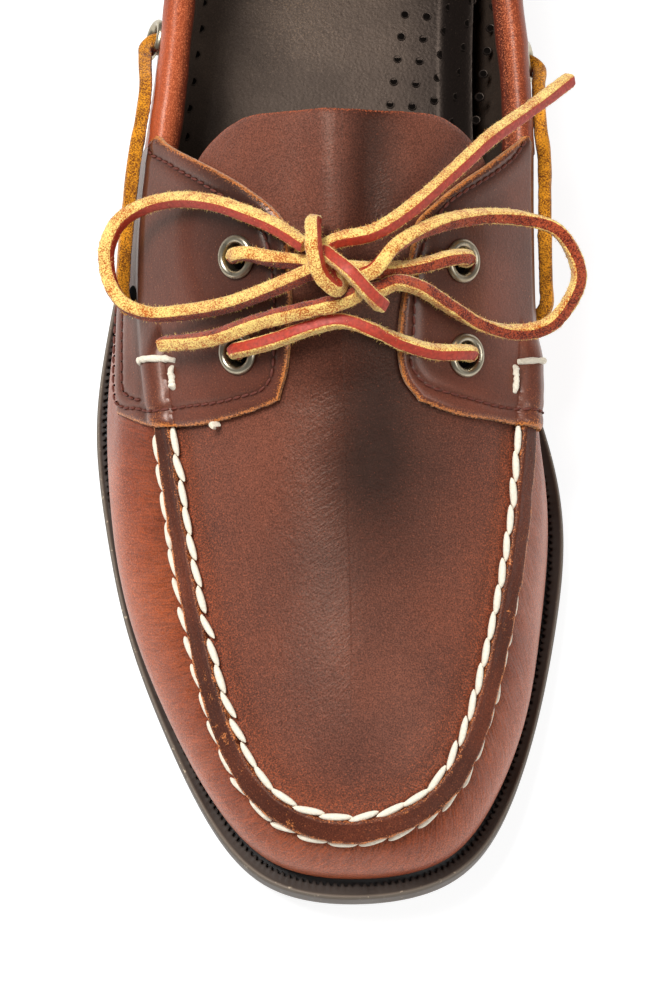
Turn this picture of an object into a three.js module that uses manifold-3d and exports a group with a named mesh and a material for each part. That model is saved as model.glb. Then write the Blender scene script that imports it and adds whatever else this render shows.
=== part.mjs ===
// Boat shoe for the right foot: rubber sole, hand-sewn moccasin upper, tongue, eyestays, collar and lace.
// Millimetres, +Z up, floor at z = 0, toe towards -Y, big-toe side of the foot towards +X.

import * as THREE from 'three';
import { mergeVertices } from 'three/addons/utils/BufferGeometryUtils.js';
import loadManifold from 'manifold-3d';

const manifold = await loadManifold();
manifold.setup();

// ---------------------------------------------------------------- driving sizes

const gap = 0.3; // air between two pieces that meet

// the size that is built, and the size that the section tables below were drawn for
const shoe = { length: 304, ballWidth: 108, instepHeight: 88 };
const drawn = { length: 304, ballWidth: 108, instepHeight: 88 };
const grade = {
  across: shoe.ballWidth / drawn.ballWidth,
  along: shoe.length / drawn.length,
  up: shoe.instepHeight / drawn.instepHeight,
};

const sole = {
  foreThickness: 9.5,
  heelRaise: 10, // how much thicker the heel is than the forefoot
  raiseStart: -40,
  raiseEnd: 66,
  springStart: -66, // the ball of the foot, in front of which the sole curves up
  springRise: 8.5,
  springReach: 86,
  archStart: -26,
  archEnd: 48,
  archRise: 3,
  heelRollStart: 141,
  heelRollReach: 11,
  heelRollRise: 1.5,
  edgeBevel: 1.2,
  footprintInset: 2.5,
};

const grooves = {
  width: 2,
  depth: 2,
  wave: 4,
  waveLength: 22,
  halfLength: 70,
  foreAt: [-60, -46, -32],
  heelAt: [66, 88, 110],
};

const wallShare = 0.55; // how high up the wall its bulge lies
const crownShare = 0.6; // how near the spine the top's sections turn level
const leather = { wall: 2, overlay: 1.8, tongue: 2.2 };
const insoleSize = { thickness: 4, inset: 2.6, bevel: 1 };
// moccasin ridge; thirds and backRow say where it ends
const seam = { width: 4.8, height: 2.1, round: 0.8, thirds: 16, backRow: 5.55 };
const collarSize = { height: 8, inside: 3.2, outside: 1.6, frontThird: 26, sides: 10 };
const stay = {
  frontRow: 5.6,
  cornerStart: 5.95,
  slantRow: 7.4,
  backRow: 8.55,
  reach: 0.65, // how far from the seam line (0) to the spine (1)
  cornerCut: 0.16,
  backReach: 0.05,
  sideDrop: 12,
};
const flap = { frontRow: 5.684, sideEdge: 1.12, backEdge: 7, backCorner: 1.38, cornerDrop: 7 };
const plugThirds = 17; // the plug ends this many thirds of a row behind the toe
const eyelet = {
  radius: 4.8,
  hole: 2.9,
  barrelRadius: 3.3,
  flange: 0.5,
  dome: 1,
  crownWidth: 0.8,
  barrel: 1.5,
  holeDepth: 12,
  sides: 14,
};
const lace = { radius: 1.5, sides: 8, stepLength: 4.5 };

// place: row on the inner side, minus the row on the outer side; t: see surfacePoint
const stayEyelets = [
  { name: 'inner_front', place: 6.17, t: 1.33 },
  { name: 'inner_back', place: 7.1, t: 1.345 },
  { name: 'outer_front', place: -6.17, t: 1.415 },
  { name: 'outer_back', place: -7.1, t: 1.44 },
];
const sideEyelets = [
  { name: 'inner_side', place: 9.55, t: 0.68 },
  { name: 'outer_side', place: -9.7, t: 0.68 },
];

// ---------------------------------------------------------------- section tables

// One row for each cross-section, from the toe (row 0) to the back of the heel (row 14).
// spine: middle line of the top, as across, along, height
const spineRows = [
  [5, -128.5, 43.5],
  [5, -123, 46],
  [5, -112.5, 49],
  [5, -97.5, 52.5],
  [4.5, -80.5, 56],
  [4, -62.5, 61],
  [3.5, -43.5, 69],
  [3, -24, 78],
  [3, -6, 84],
  [3, 12, 88.5],
  [2, 46, 92],
  [2, 80, 94],
  [2.5, 106, 94],
  [3, 122, 92],
  [3, 130, 90],
];

// each side: sole edge across and along, rim width, bulge of the wall, seam across, along and height
const innerRows = [
  [6.5, -152.3, 4.6, 2.8, 4.7, -141.2, 37.5],
  [26, -148, 4.4, 3.5, 19, -137, 37.5],
  [38.5, -134.5, 4.2, 3.5, 29, -125.7, 38],
  [46.4, -113, 4, 5, 35.3, -106.3, 38.5],
  [51.4, -90, 4, 2.5, 39.9, -84.5, 39.5],
  [54, -66, 4.4, 2, 42.6, -64.5, 41],
  [51, -43.5, 4.2, 3, 43.8, -43, 43.5],
  [44.5, -21, 3.4, 7, 43.7, -21.5, 48.5],
  [40.2, 0, 2.6, 11, 43.3, 0, 56],
  [38.5, 22, 2.4, 13, 43, 21, 60.5],
  [38.5, 50, 2.4, 11, 41, 48, 61],
  [40, 82, 2.6, 7, 38, 79, 62],
  [39.5, 112, 2.8, 5.5, 33.3, 109, 65],
  [30.5, 140, 3, 4.5, 22.5, 133, 71],
  [3, 152, 3, 5, 3, 142.5, 75],
];
const outerRows = [
  innerRows[0],
  [-13.5, -148.3, 4.6, 3.8, -8.8, -137.6, 37.5],
  [-27, -133.5, 4.2, 5.5, -19, -126.5, 37.5],
  [-37, -113, 3.8, 7.5, -26.2, -106.2, 38],
  [-45.6, -90, 3.6, 8.5, -30.7, -85.4, 39],
  [-51, -66, 3.4, 7, -34.1, -64.5, 40],
  [-54, -41, 3.2, 2.8, -37.1, -43, 42.5],
  [-52.2, -19, 3, 2.5, -39.4, -21.5, 47.5],
  [-48.5, 2, 2.8, 2.2, -38.9, 0, 55],
  [-44, 24, 2.6, 3, -36.2, 21, 60],
  [-39, 51, 2.5, 5.5, -33.9, 48, 61],
  [-35.6, 82, 2.6, 5.5, -31.2, 79, 62],
  [-33.8, 112, 2.8, 5, -27.5, 109, 65],
  [-25, 140, 3, 4, -16.5, 133, 71],
  innerRows[14],
];
const lastRow = spineRows.length - 1;
const around = 2 * lastRow; // the closed loop: rows 0..14 on the inner side, then back on the outer side

// ---------------------------------------------------------------- closed curves through the rows

// control values of the closed cubic B-spline that passes through the given values
function splineControls(values) {
  const controls = [...values];
  for (let pass = 0; pass < 40; pass += 1) {
    for (let i = 0; i < values.length; i += 1) {
      const before = controls[(i + values.length - 1) % values.length];
      const after = controls[(i + 1) % values.length];
      controls[i] = (6 * values[i] - before - after) / 4;
    }
  }
  return controls;
}

function splineValue(controls, place) {
  const wrapped = ((place % around) + around) % around;
  const start = Math.floor(wrapped);
  const f = wrapped - start;
  const weights = [(1 - f) ** 3, 3 * f ** 3 - 6 * f ** 2 + 4, -3 * f ** 3 + 3 * f ** 2 + 3 * f + 1, f ** 3];
  let sum = 0;
  weights.forEach((weight, k) => {
    sum += weight * controls[(start + k - 1 + around) % around];
  });
  return sum / 6;
}

// one column of the inner and outer tables as a closed loop of values
function loopColumn(innerTable, outerTable, column, scale) {
  const values = [];
  for (let i = 0; i < around; i += 1) {
    const row = i <= lastRow ? innerTable[i] : outerTable[around - i];
    values.push(row[column] * scale);
  }
  return splineControls(values);
}

const loops = {
  spineX: loopColumn(spineRows, spineRows, 0, grade.across),
  spineY: loopColumn(spineRows, spineRows, 1, grade.along),
  spineZ: loopColumn(spineRows, spineRows, 2, grade.up),
  soleX: loopColumn(innerRows, outerRows, 0, grade.across),
  soleY: loopColumn(innerRows, outerRows, 1, grade.along),
  rim: loopColumn(innerRows, outerRows, 2, 1),
  bulge: loopColumn(innerRows, outerRows, 3, 1),
  seamX: loopColumn(innerRows, outerRows, 4, grade.across),
  seamY: loopColumn(innerRows, outerRows, 5, grade.along),
  seamZ: loopColumn(innerRows, outerRows, 6, grade.up),
};

// ---------------------------------------------------------------- the sole's profile

function smoothRise(value, start, end) {
  const f = THREE.MathUtils.clamp((value - start) / (end - start), 0, 1);
  return f * f * (3 - 2 * f);
}

// toe spring: the rise grows as the square of the distance in front of the ball
function toeSpring(y) {
  return sole.springRise * Math.max((sole.springStart - y) / sole.springReach, 0) ** 2;
}

function soleBottom(y) {
  const arch = smoothRise(y, sole.archStart, (sole.archStart + sole.archEnd) / 2)
    - smoothRise(y, (sole.archStart + sole.archEnd) / 2, sole.archEnd);
  const roll = sole.heelRollRise * Math.max((y - sole.heelRollStart) / sole.heelRollReach, 0) ** 2;
  return toeSpring(y) + sole.archRise * arch + roll;
}

function soleTop(y) {
  return sole.foreThickness + toeSpring(y) + sole.heelRaise * smoothRise(y, sole.raiseStart, sole.raiseEnd);
}

// ---------------------------------------------------------------- the last's surface

const sectionCache = new Map();

// the named points of the section at a place round the loop
function sectionAt(place) {
  const key = place.toFixed(5);
  if (sectionCache.has(key)) return sectionCache.get(key);
  const value = (name, at = place) => splineValue(loops[name], at);
  const step = 0.02;
  const edgeX = value('soleX', place + step) - value('soleX', place - step);
  const edgeY = value('soleY', place + step) - value('soleY', place - step);
  const edgeLength = Math.hypot(edgeX, edgeY);
  const out = new THREE.Vector2(edgeY / edgeLength, -edgeX / edgeLength);
  const edge = new THREE.Vector2(value('soleX'), value('soleY'));
  const foot = edge.clone().addScaledVector(out, -value('rim'));
  const section = {
    out,
    edge,
    foot: new THREE.Vector3(foot.x, foot.y, soleTop(foot.y) + gap),
    seam: new THREE.Vector3(value('seamX'), value('seamY'), value('seamZ')),
    spine: new THREE.Vector3(value('spineX'), value('spineY'), value('spineZ')),
    bulge: value('bulge'),
  };
  sectionCache.set(key, section);
  return section;
}

// slope of the spine at a place, height gained for each millimetre towards the heel
function spineSlope(place) {
  const step = 0.25;
  const row = Math.max(Math.abs(place) % around, step);
  const ahead = row - step;
  const behind = row + step;
  const rise = splineValue(loops.spineZ, behind) - splineValue(loops.spineZ, ahead);
  return rise / (splineValue(loops.spineY, behind) - splineValue(loops.spineY, ahead));
}

function quadratic(a, b, c, f) {
  return a * (1 - f) ** 2 + 2 * b * f * (1 - f) + c * f ** 2;
}

// point of the surface: t 0 at the sole, 1 at the moccasin seam or collar edge, 2 at the spine
function surfacePoint(place, t) {
  const { out, foot, seam: ridge, spine, bulge } = sectionAt(place);
  let from = foot;
  let to = ridge;
  const middle = new THREE.Vector3();
  let f = t;
  if (t <= 1) {
    middle.set(foot.x + out.x * bulge, foot.y + out.y * bulge, foot.z + wallShare * (ridge.z - foot.z));
  } else {
    from = ridge;
    to = spine;
    f = t - 1;
    middle.lerpVectors(ridge, spine, crownShare);
    middle.z = spine.z + spineSlope(place) * (middle.y - spine.y);
  }
  return new THREE.Vector3(
    quadratic(from.x, middle.x, to.x, f),
    quadratic(from.y, middle.y, to.y, f),
    quadratic(from.z, middle.z, to.z, f),
  );
}

function surfaceNormal(place, t) {
  if (t > 1.999) return new THREE.Vector3(0, -spineSlope(place), 1).normalize();
  const step = 0.04;
  const alongRim = surfacePoint(place + step, t).sub(surfacePoint(place - step, t));
  const upWall = surfacePoint(place, Math.min(t + step, 2)).sub(surfacePoint(place, Math.max(t - step, 0)));
  return alongRim.cross(upWall).normalize();
}

function offsetPoint(place, t, offset) {
  return surfacePoint(place, t).addScaledVector(surfaceNormal(place, t), offset);
}

// t at a distance in millimetres from the seam line, negative down the wall
function tFromSeam(place, distance) {
  const step = 0.05;
  const side = distance < 0 ? -step : step;
  const speed = surfacePoint(place, 1 + side).distanceTo(surfacePoint(place, 1)) / step;
  return 1 + distance / speed;
}

// ---------------------------------------------------------------- building closed meshes

function stepsBetween(start, end, count) {
  return Array.from({ length: count + 1 }, (_, i) => start + ((end - start) * i) / count);
}

// place round the loop for a row on one side: side 1 is the inner side, side -1 the outer side
function placeOf(row, side) {
  return side > 0 ? row : -row;
}

function geometryFrom(points, triangles) {
  const geometry = new THREE.BufferGeometry();
  const kept = triangles.filter(([a, b, c]) => a !== b && b !== c && c !== a);
  geometry.setAttribute('position', new THREE.Float32BufferAttribute(points.flatMap((p) => p.toArray()), 3));
  geometry.setIndex(kept.flat());
  return geometry;
}

// collects points, giving two points at the same spot one number
class PointList {
  constructor() {
    this.points = [];
    this.numbers = new Map();
  }

  add(point) {
    const key = point.toArray().map((v) => Math.round(v * 500)).join();
    if (!this.numbers.has(key)) {
      this.numbers.set(key, this.points.length);
      this.points.push(point);
    }
    return this.numbers.get(key);
  }
}

// a sheet of leather: grids of [place, t] pairs, closed between two offsets from the surface
function sheetGeometry(grids, outside, inside) {
  const list = new PointList();
  const pairs = [];
  const numberOf = ([place, t]) => {
    const number = list.add(offsetPoint(place, t, outside));
    pairs[number] = [place, t];
    return number;
  };
  const top = [];
  grids.forEach((grid) => {
    const numbers = grid.map((line) => line.map(numberOf));
    for (let i = 0; i + 1 < numbers.length; i += 1) {
      for (let j = 0; j + 1 < numbers[i].length; j += 1) {
        const [a, b, c, d] = [numbers[i][j], numbers[i + 1][j], numbers[i + 1][j + 1], numbers[i][j + 1]];
        top.push([a, b, c], [a, c, d]);
      }
    }
  });
  const faces = top.filter(([a, b, c]) => a !== b && b !== c && c !== a);
  const count = list.points.length;
  const points = [...list.points, ...pairs.map(([place, t]) => offsetPoint(place, t, inside))];
  const edges = new Set(faces.flatMap(([a, b, c]) => [`${a},${b}`, `${b},${c}`, `${c},${a}`]));
  const triangles = [...faces, ...faces.map(([a, b, c]) => [c + count, b + count, a + count])];
  edges.forEach((edge) => {
    const [a, b] = edge.split(',').map(Number);
    if (!edges.has(`${b},${a}`)) triangles.push([b, a, a + count], [b, a + count, b + count]);
  });
  return geometryFrom(points, triangles);
}

// closed rings of equal length joined one to the next; open ends are capped, or the last ring joins the first
function ringsGeometry(rings, closed = false) {
  const list = new PointList();
  const numbers = rings.map((ring) => ring.map((point) => list.add(point)));
  const triangles = [];
  const size = numbers[0].length;
  const last = closed ? rings.length : rings.length - 1;
  for (let i = 0; i < last; i += 1) {
    const next = numbers[(i + 1) % rings.length];
    for (let j = 0; j < size; j += 1) {
      const k = (j + 1) % size;
      triangles.push([numbers[i][j], next[j], next[k]], [numbers[i][j], next[k], numbers[i][k]]);
    }
  }
  if (!closed) {
    for (let j = 1; j + 1 < size; j += 1) {
      triangles.push([numbers[0][0], numbers[0][j], numbers[0][j + 1]]);
      const end = numbers[rings.length - 1];
      triangles.push([end[0], end[j + 1], end[j]]);
    }
  }
  return geometryFrom(list.points, triangles);
}

// a plate that follows the sole: rings [inset from the sole edge, share of the way from the spine, height]
function plateGeometry(places, rings) {
  const list = new PointList();
  const numbers = rings.map(({ inset, share, height }) => places.map((place) => {
    const { out, edge, spine } = sectionAt(place);
    const x = edge.x - out.x * inset(place);
    const y = edge.y - out.y * inset(place);
    const point = new THREE.Vector3(spine.x + (x - spine.x) * share, spine.y + (y - spine.y) * share, 0);
    point.z = height(point.y);
    return list.add(point);
  }));
  const triangles = [];
  for (let i = 0; i + 1 < rings.length; i += 1) {
    for (let j = 0; j < places.length; j += 1) {
      const k = (j + 1) % places.length;
      const [a, b, c, d] = [numbers[i][j], numbers[i][k], numbers[i + 1][k], numbers[i + 1][j]];
      triangles.push([a, b, c], [a, c, d]);
    }
  }
  return geometryFrom(list.points, triangles);
}

// ---------------------------------------------------------------- joining and cutting

function toSolid(geometry) {
  const bare = geometry.clone();
  bare.deleteAttribute('normal');
  bare.deleteAttribute('uv');
  const merged = mergeVertices(bare, 1e-4);
  return new manifold.Manifold(new manifold.Mesh({
    numProp: 3,
    vertProperties: new Float32Array(merged.attributes.position.array),
    triVerts: new Uint32Array(merged.index.array),
  }));
}

function fromSolid(solid) {
  const mesh = solid.getMesh();
  const geometry = new THREE.BufferGeometry();
  geometry.setAttribute('position', new THREE.BufferAttribute(new Float32Array(mesh.vertProperties), 3));
  geometry.setIndex(new THREE.BufferAttribute(new Uint32Array(mesh.triVerts), 1));
  return geometry;
}

function placedCylinder(radius, height, sides, point, axis) {
  const geometry = new THREE.CylinderGeometry(radius, radius, height, sides);
  geometry.applyQuaternion(new THREE.Quaternion().setFromUnitVectors(new THREE.Vector3(0, 1, 0), axis));
  geometry.translate(point.x, point.y, point.z);
  return geometry;
}

// ---------------------------------------------------------------- pieces

const loopStep = 1 / 3;
const loopPlaces = stepsBetween(0, around, Math.round(around / loopStep)).slice(0, -1);

// a groove across the tread: a band of even width that waves along its length
function grooveSolid(middle) {
  const halfLength = grooves.halfLength;
  const points = stepsBetween(-halfLength, halfLength, Math.round((4 * halfLength) / grooves.waveLength));
  const wave = (x) => grooves.wave * Math.cos((2 * Math.PI * x) / grooves.waveLength) / 2;
  const shape = new THREE.Shape();
  points.forEach((x, i) => {
    const y = middle + wave(x) - grooves.width / 2;
    if (i === 0) shape.moveTo(x, y);
    else shape.lineTo(x, y);
  });
  [...points].reverse().forEach((x) => shape.lineTo(x, middle + wave(x) + grooves.width / 2));
  const below = 1;
  const geometry = new THREE.ExtrudeGeometry(shape, { depth: grooves.depth + below, bevelEnabled: false });
  geometry.translate(0, 0, -below);
  return toSolid(geometry);
}

function outsoleGeometry() {
  const none = () => 0;
  const bottomInset = () => sole.footprintInset;
  const bevel = () => sole.edgeBevel;
  const rings = [
    { inset: bottomInset, share: 0, height: soleTop },
    { inset: bevel, share: 1, height: soleTop },
    { inset: none, share: 1, height: (y) => soleTop(y) - sole.edgeBevel },
    { inset: none, share: 1, height: (y) => soleBottom(y) + 2 * sole.footprintInset },
    { inset: bottomInset, share: 1, height: soleBottom },
    { inset: bottomInset, share: 0.5, height: soleBottom },
    { inset: bottomInset, share: 0, height: soleBottom },
  ];
  let solid = toSolid(plateGeometry(loopPlaces, rings.reverse()));
  [...grooves.foreAt, ...grooves.heelAt].forEach((middle) => {
    solid = solid.subtract(grooveSolid(middle));
  });
  return fromSolid(solid);
}

function insoleGeometry() {
  const inset = (place) => splineValue(loops.rim, place) + insoleSize.inset;
  const bevelled = (place) => inset(place) + insoleSize.bevel;
  const bottom = (y) => soleTop(y) + gap;
  const top = (y) => bottom(y) + insoleSize.thickness;
  const places = stepsBetween(0, around, around * 2).slice(0, -1);
  return plateGeometry(places, [
    { inset, share: 0, height: bottom },
    { inset, share: 1, height: bottom },
    { inset, share: 1, height: (y) => top(y) - insoleSize.bevel },
    { inset: bevelled, share: 1, height: top },
    { inset: bevelled, share: 0, height: top },
  ]);
}

// top edge of the upper's wall: the seam line in front, a step below the collar roll behind
function wallTop(place) {
  const third = Math.round(Math.min(place, around - place) / loopStep);
  return third < collarSize.frontThird ? 1 : tFromSeam(place, -collarSize.height - gap);
}

function upperGeometry() {
  const wallSteps = 5;
  const plugSteps = 4;
  const wall = [...loopPlaces, around].map((place) => {
    const heights = stepsBetween(0, wallTop(place % around), wallSteps);
    return heights.map((t) => [place, t]);
  });
  const plug = stepsBetween(-plugThirds * loopStep, plugThirds * loopStep, 2 * plugThirds)
    .map((place) => stepsBetween(1, 2, plugSteps).map((t) => [place, t]));
  let solid = toSolid(sheetGeometry([wall, plug], 0, -leather.wall));
  sideEyelets.forEach(({ place, t }) => {
    solid = solid.subtract(eyeletHole(place, t, 0));
  });
  return fromSolid(solid);
}

// the row whose surface point at t lies at a given distance along the shoe
function rowAt(y, t, side) {
  let low = 0;
  let high = lastRow;
  for (let pass = 0; pass < 30; pass += 1) {
    const middle = (low + high) / 2;
    if (surfacePoint(placeOf(middle, side), t).y < y) low = middle;
    else high = middle;
  }
  return (low + high) / 2;
}

function transpose(lines) {
  return lines[0].map((_, i) => lines.map((line) => line[i]));
}

function tongueGeometry() {
  const rowSteps = 9;
  const sideSteps = 5;
  const grids = [-1, 1].map((side) => {
    const lines = stepsBetween(flap.sideEdge, 2, sideSteps).map((t) => {
      const corner = Math.max((flap.backCorner - t) / (flap.backCorner - flap.sideEdge), 0);
      const backRow = rowAt(flap.backEdge - flap.cornerDrop * corner ** 2, t, side);
      return stepsBetween(flap.frontRow, backRow, rowSteps).map((row) => [placeOf(row, side), t]);
    });
    const grid = transpose(lines);
    return side > 0 ? grid : grid.reverse();
  });
  return sheetGeometry(grids, 0, -leather.tongue);
}

// how far an eyestay reaches towards the spine: full width, a round front corner, a slanting back edge
function stayEdge(row) {
  const front = Math.max((stay.cornerStart - row) / (stay.cornerStart - stay.frontRow), 0);
  const back = Math.max((row - stay.slantRow) / (stay.backRow - stay.slantRow), 0);
  return 1 + stay.reach - stay.cornerCut * front ** 2 - (stay.reach - stay.backReach) * back;
}

function eyestayGeometry(side) {
  const rowSteps = 10;
  const grid = stepsBetween(stay.frontRow, stay.backRow, rowSteps).map((row) => {
    const place = placeOf(row, side);
    const down = stepsBetween(tFromSeam(place, -stay.sideDrop), 1, 3);
    const up = stepsBetween(1, stayEdge(row), 5).slice(1);
    return [...down, ...up].map((t) => [place, t]);
  });
  const ordered = side > 0 ? grid : grid.reverse();
  let solid = toSolid(sheetGeometry([ordered], gap + leather.overlay, gap));
  stayEyelets.filter((each) => Math.sign(each.place) === side).forEach(({ place, t }) => {
    solid = solid.subtract(eyeletHole(place, t, gap + leather.overlay));
  });
  return fromSolid(solid);
}

// a raised strip that straddles the moccasin seam from one eyestay round the toe to the other
function seamRidgeGeometry() {
  const thirds = stepsBetween(-seam.thirds * loopStep, seam.thirds * loopStep, 2 * seam.thirds);
  const places = [-seam.backRow, ...thirds, seam.backRow];
  const half = seam.width / 2;
  const shoulder = half - seam.round;
  const edge = seam.height - seam.round;
  const profile = [
    [0, gap],
    [-half, gap],
    [-half, edge],
    [-shoulder, seam.height],
    [shoulder, seam.height],
    [half, edge],
    [half, gap],
  ];
  return ringsGeometry(places.map((place) => profile
    .map(([distance, offset]) => offsetPoint(place, tFromSeam(place, distance), offset))));
}

// a padded roll round the ankle opening: an oval between the wall's top and the collar line
function collarGeometry() {
  const front = collarSize.frontThird * loopStep;
  const clear = gap / 20;
  const back = around - front;
  const count = Math.round((back - front) / loopStep) - 2;
  const thirds = stepsBetween(front + loopStep, back - loopStep, count);
  const places = [front + clear, ...thirds, back - clear];
  const halfHeight = collarSize.height / 2;
  const halfThickness = (collarSize.inside + collarSize.outside + leather.wall) / 2;
  const middle = (collarSize.outside - collarSize.inside - leather.wall) / 2;
  const angles = stepsBetween(0, 2 * Math.PI, collarSize.sides).slice(0, -1).reverse();
  const profile = angles.map((angle) => [
    -halfHeight + halfHeight * Math.cos(angle),
    middle + halfThickness * Math.sin(angle),
  ]);
  return ringsGeometry(places.map((place) => profile
    .map(([distance, offset]) => offsetPoint(place, tFromSeam(place, distance), offset))));
}

// ---------------------------------------------------------------- eyelets

function eyeletHole(place, t, offset) {
  const radius = eyelet.barrelRadius + gap;
  const point = offsetPoint(place, t, offset);
  const normal = surfaceNormal(place, t);
  return toSolid(placedCylinder(radius, eyelet.holeDepth, eyelet.sides, point, normal));
}

// a domed ring with a short barrel, turned about the axis of its hole
function eyeletGeometry(place, t, offset) {
  const { hole, barrelRadius, radius, barrel, flange, dome, crownWidth } = eyelet;
  const crown = (hole + radius) / 2;
  const profile = [
    [hole, -barrel],
    [barrelRadius, -barrel],
    [barrelRadius, gap],
    [radius, gap],
    [radius, gap + flange],
    [crown + crownWidth / 2, gap + dome],
    [crown - crownWidth / 2, gap + dome],
    [hole, gap + flange],
    [hole, -barrel],
  ].map(([x, y]) => new THREE.Vector2(x, y));
  const geometry = new THREE.LatheGeometry(profile, eyelet.sides);
  const turn = new THREE.Quaternion().setFromUnitVectors(new THREE.Vector3(0, 1, 0), surfaceNormal(place, t));
  const point = offsetPoint(place, t, offset);
  geometry.applyQuaternion(turn);
  geometry.translate(point.x, point.y, point.z);
  return geometry;
}

// ---------------------------------------------------------------- lace

// each strand's middle line, point by point, from its hidden end or from the knot outwards
const strands = {
  lace_bar_back: [
    [-19.8, -21.2, 70.9], [-20.6, -21.7, 72.5], [-20.2, -22.3, 75], [-17.8, -23, 77.2], [-12, -25, 79.2],
    [-4, -27, 81.7], [4, -28.3, 82.2], [12, -28, 80.3], [20, -26, 77.9], [26, -23.4, 75.6],
    [29.9, -21.8, 72.6], [30.3, -21.2, 69.8], [29.2, -20.9, 67.9],
  ],
  lace_bar_front: [
    [-19.6, -40.3, 62.9], [-20.4, -40.9, 64.5], [-20, -41.5, 67], [-17.5, -41.9, 69.6], [-11.5, -41.3, 72.8],
    [-4, -39.8, 76.4], [2.5, -38.8, 77.9], [9, -40.3, 77], [16, -42.3, 73.9], [23, -43, 70.2],
    [28.5, -42, 67.2], [30.9, -41.2, 64.9], [31, -40.6, 62.4], [30, -40.1, 60.5],
  ],
  lace_knot: [
    [-2.9, -18.8, 85.5], [-3.3, -21.3, 90.2], [-3.2, -24.8, 92], [-3.1, -27.7, 92], [-2.6, -30.2, 91.3],
    [-1.9, -32.4, 90], [-0.3, -34.1, 88.4], [1.8, -35.2, 87.1],
  ],
  lace_loop_outer: [
    [-5, -24.5, 85.5], [-11.5, -19, 83], [-18.5, -14.5, 80], [-25.5, -10.5, 76], [-34.5, -7, 69],
    [-41.5, -7, 64.5], [-46.5, -9.5, 62], [-49, -14.5, 60.5], [-49, -19.5, 59.5], [-47.5, -24.5, 59.5],
    [-45, -28, 60], [-39.5, -30.5, 60.5], [-32.5, -31, 62.5], [-22, -32, 70], [-13.5, -31.5, 77],
    [-6.5, -30.5, 82.5],
  ],
  lace_loop_inner: [
    [9.5, -30, 85], [14.5, -24, 84.5], [23, -17.5, 80], [33.5, -12.5, 73], [42.5, -11, 68], [50, -12.5, 65.5],
    [54, -18, 64], [55, -23, 63], [52.5, -29, 62], [48, -33.5, 61], [41, -35, 61], [33.5, -35, 65.5],
    [27, -33.5, 71.5], [19.5, -31, 77.5], [14.5, -31, 80.5], [10.5, -33, 81.5],
  ],
  lace_end_inner: [
    [0.5, -24, 86.5], [9.5, -22, 87], [16, -17.5, 86], [28.5, -4, 81], [35, 4, 77], [42, 11.5, 72],
    [49, 19, 67], [54, 24.5, 63.5],
  ],
  lace_end_outer: [
    [2.5, -36, 82], [-4.5, -37, 80], [-15, -37.5, 74], [-25.5, -38.5, 66.5], [-37, -36.5, 57.5],
  ],
  lace_side_outer: [
    [-37.2, 41, 48], [-39.8, 41.1, 48.6], [-41.9, 38.5, 49.8], [-41.9, 35.5, 51.2], [-41.7, 31.5, 53.4],
    [-41.4, 27, 55.6], [-41.7, 22, 56], [-42.5, 16.3, 55.7], [-43.6, 9.9, 54.5], [-44.3, 4.6, 53.2],
    [-45, -1.8, 51.3], [-45.7, -8.3, 49], [-46.2, -14.9, 46.7], [-46.6, -20.3, 44.4],
  ],
  lace_side_inner: [
    [43.3, 35.9, 48.1], [45.9, 35.9, 48.2], [48, 33.5, 49], [47.7, 29, 51], [47.6, 21.5, 53],
    [47.9, 15.5, 53.8], [48.5, 10.3, 53.4], [48.6, 0.1, 51.1], [48.7, -8.2, 47.5], [49, -16.7, 43.2],
    [49.3, -20.9, 40.5],
  ],
};

// the leather thong as a plain tube along a smooth curve
function strandGeometry(points) {
  const vectors = points.map((point) => new THREE.Vector3(...point));
  const path = new THREE.CatmullRomCurve3(vectors, false, 'centripetal');
  const angles = stepsBetween(0, 2 * Math.PI, lace.sides).slice(0, -1);
  const corners = angles.map((angle) => {
    const [x, y] = [lace.radius * Math.cos(angle), lace.radius * Math.sin(angle)];
    return new THREE.Vector2(x, y);
  });
  const section = new THREE.Shape(corners);
  const steps = Math.round(path.getLength() / lace.stepLength);
  return new THREE.ExtrudeGeometry(section, { steps, extrudePath: path, bevelEnabled: false });
}

// ---------------------------------------------------------------- assembly

const looks = {
  rubber: { color: 0x3a322c, roughness: 0.75, metalness: 0 },
  insoleLeather: { color: 0x433b34, roughness: 0.6, metalness: 0 },
  brownLeather: { color: 0x8a4f3a, roughness: 0.5, metalness: 0 },
  darkLeather: { color: 0x6e5045, roughness: 0.5, metalness: 0 },
  ridgeLeather: { color: 0x70432d, roughness: 0.6, metalness: 0 },
  collarLeather: { color: 0xa85c3a, roughness: 0.5, metalness: 0 },
  nickel: { color: 0xb9ab96, roughness: 0.3, metalness: 1 },
  rawhide: { color: 0xc8763c, roughness: 0.8, metalness: 0 },
};

const boatShoe = new THREE.Group();
boatShoe.name = 'boat_shoe';

function addPiece(name, geometry, look) {
  const mesh = new THREE.Mesh(geometry, new THREE.MeshStandardMaterial(looks[look]));
  mesh.name = name;
  boatShoe.add(mesh);
}

addPiece('outsole', outsoleGeometry(), 'rubber');
addPiece('insole', insoleGeometry(), 'insoleLeather');
addPiece('upper', upperGeometry(), 'brownLeather');
addPiece('tongue', tongueGeometry(), 'darkLeather');
addPiece('seam_ridge', seamRidgeGeometry(), 'ridgeLeather');
addPiece('eyestay_inner', eyestayGeometry(1), 'darkLeather');
addPiece('eyestay_outer', eyestayGeometry(-1), 'darkLeather');
addPiece('collar', collarGeometry(), 'collarLeather');
stayEyelets.forEach(({ name, place, t }) => {
  addPiece(`eyelet_${name}`, eyeletGeometry(place, t, gap + leather.overlay), 'nickel');
});
sideEyelets.forEach(({ name, place, t }) => {
  addPiece(`eyelet_${name}`, eyeletGeometry(place, t, 0), 'nickel');
});

Object.entries(strands).forEach(([name, points]) => {
  addPiece(name, strandGeometry(points), 'rawhide');
});

export default boatShoe;
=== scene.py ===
import math

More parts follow.
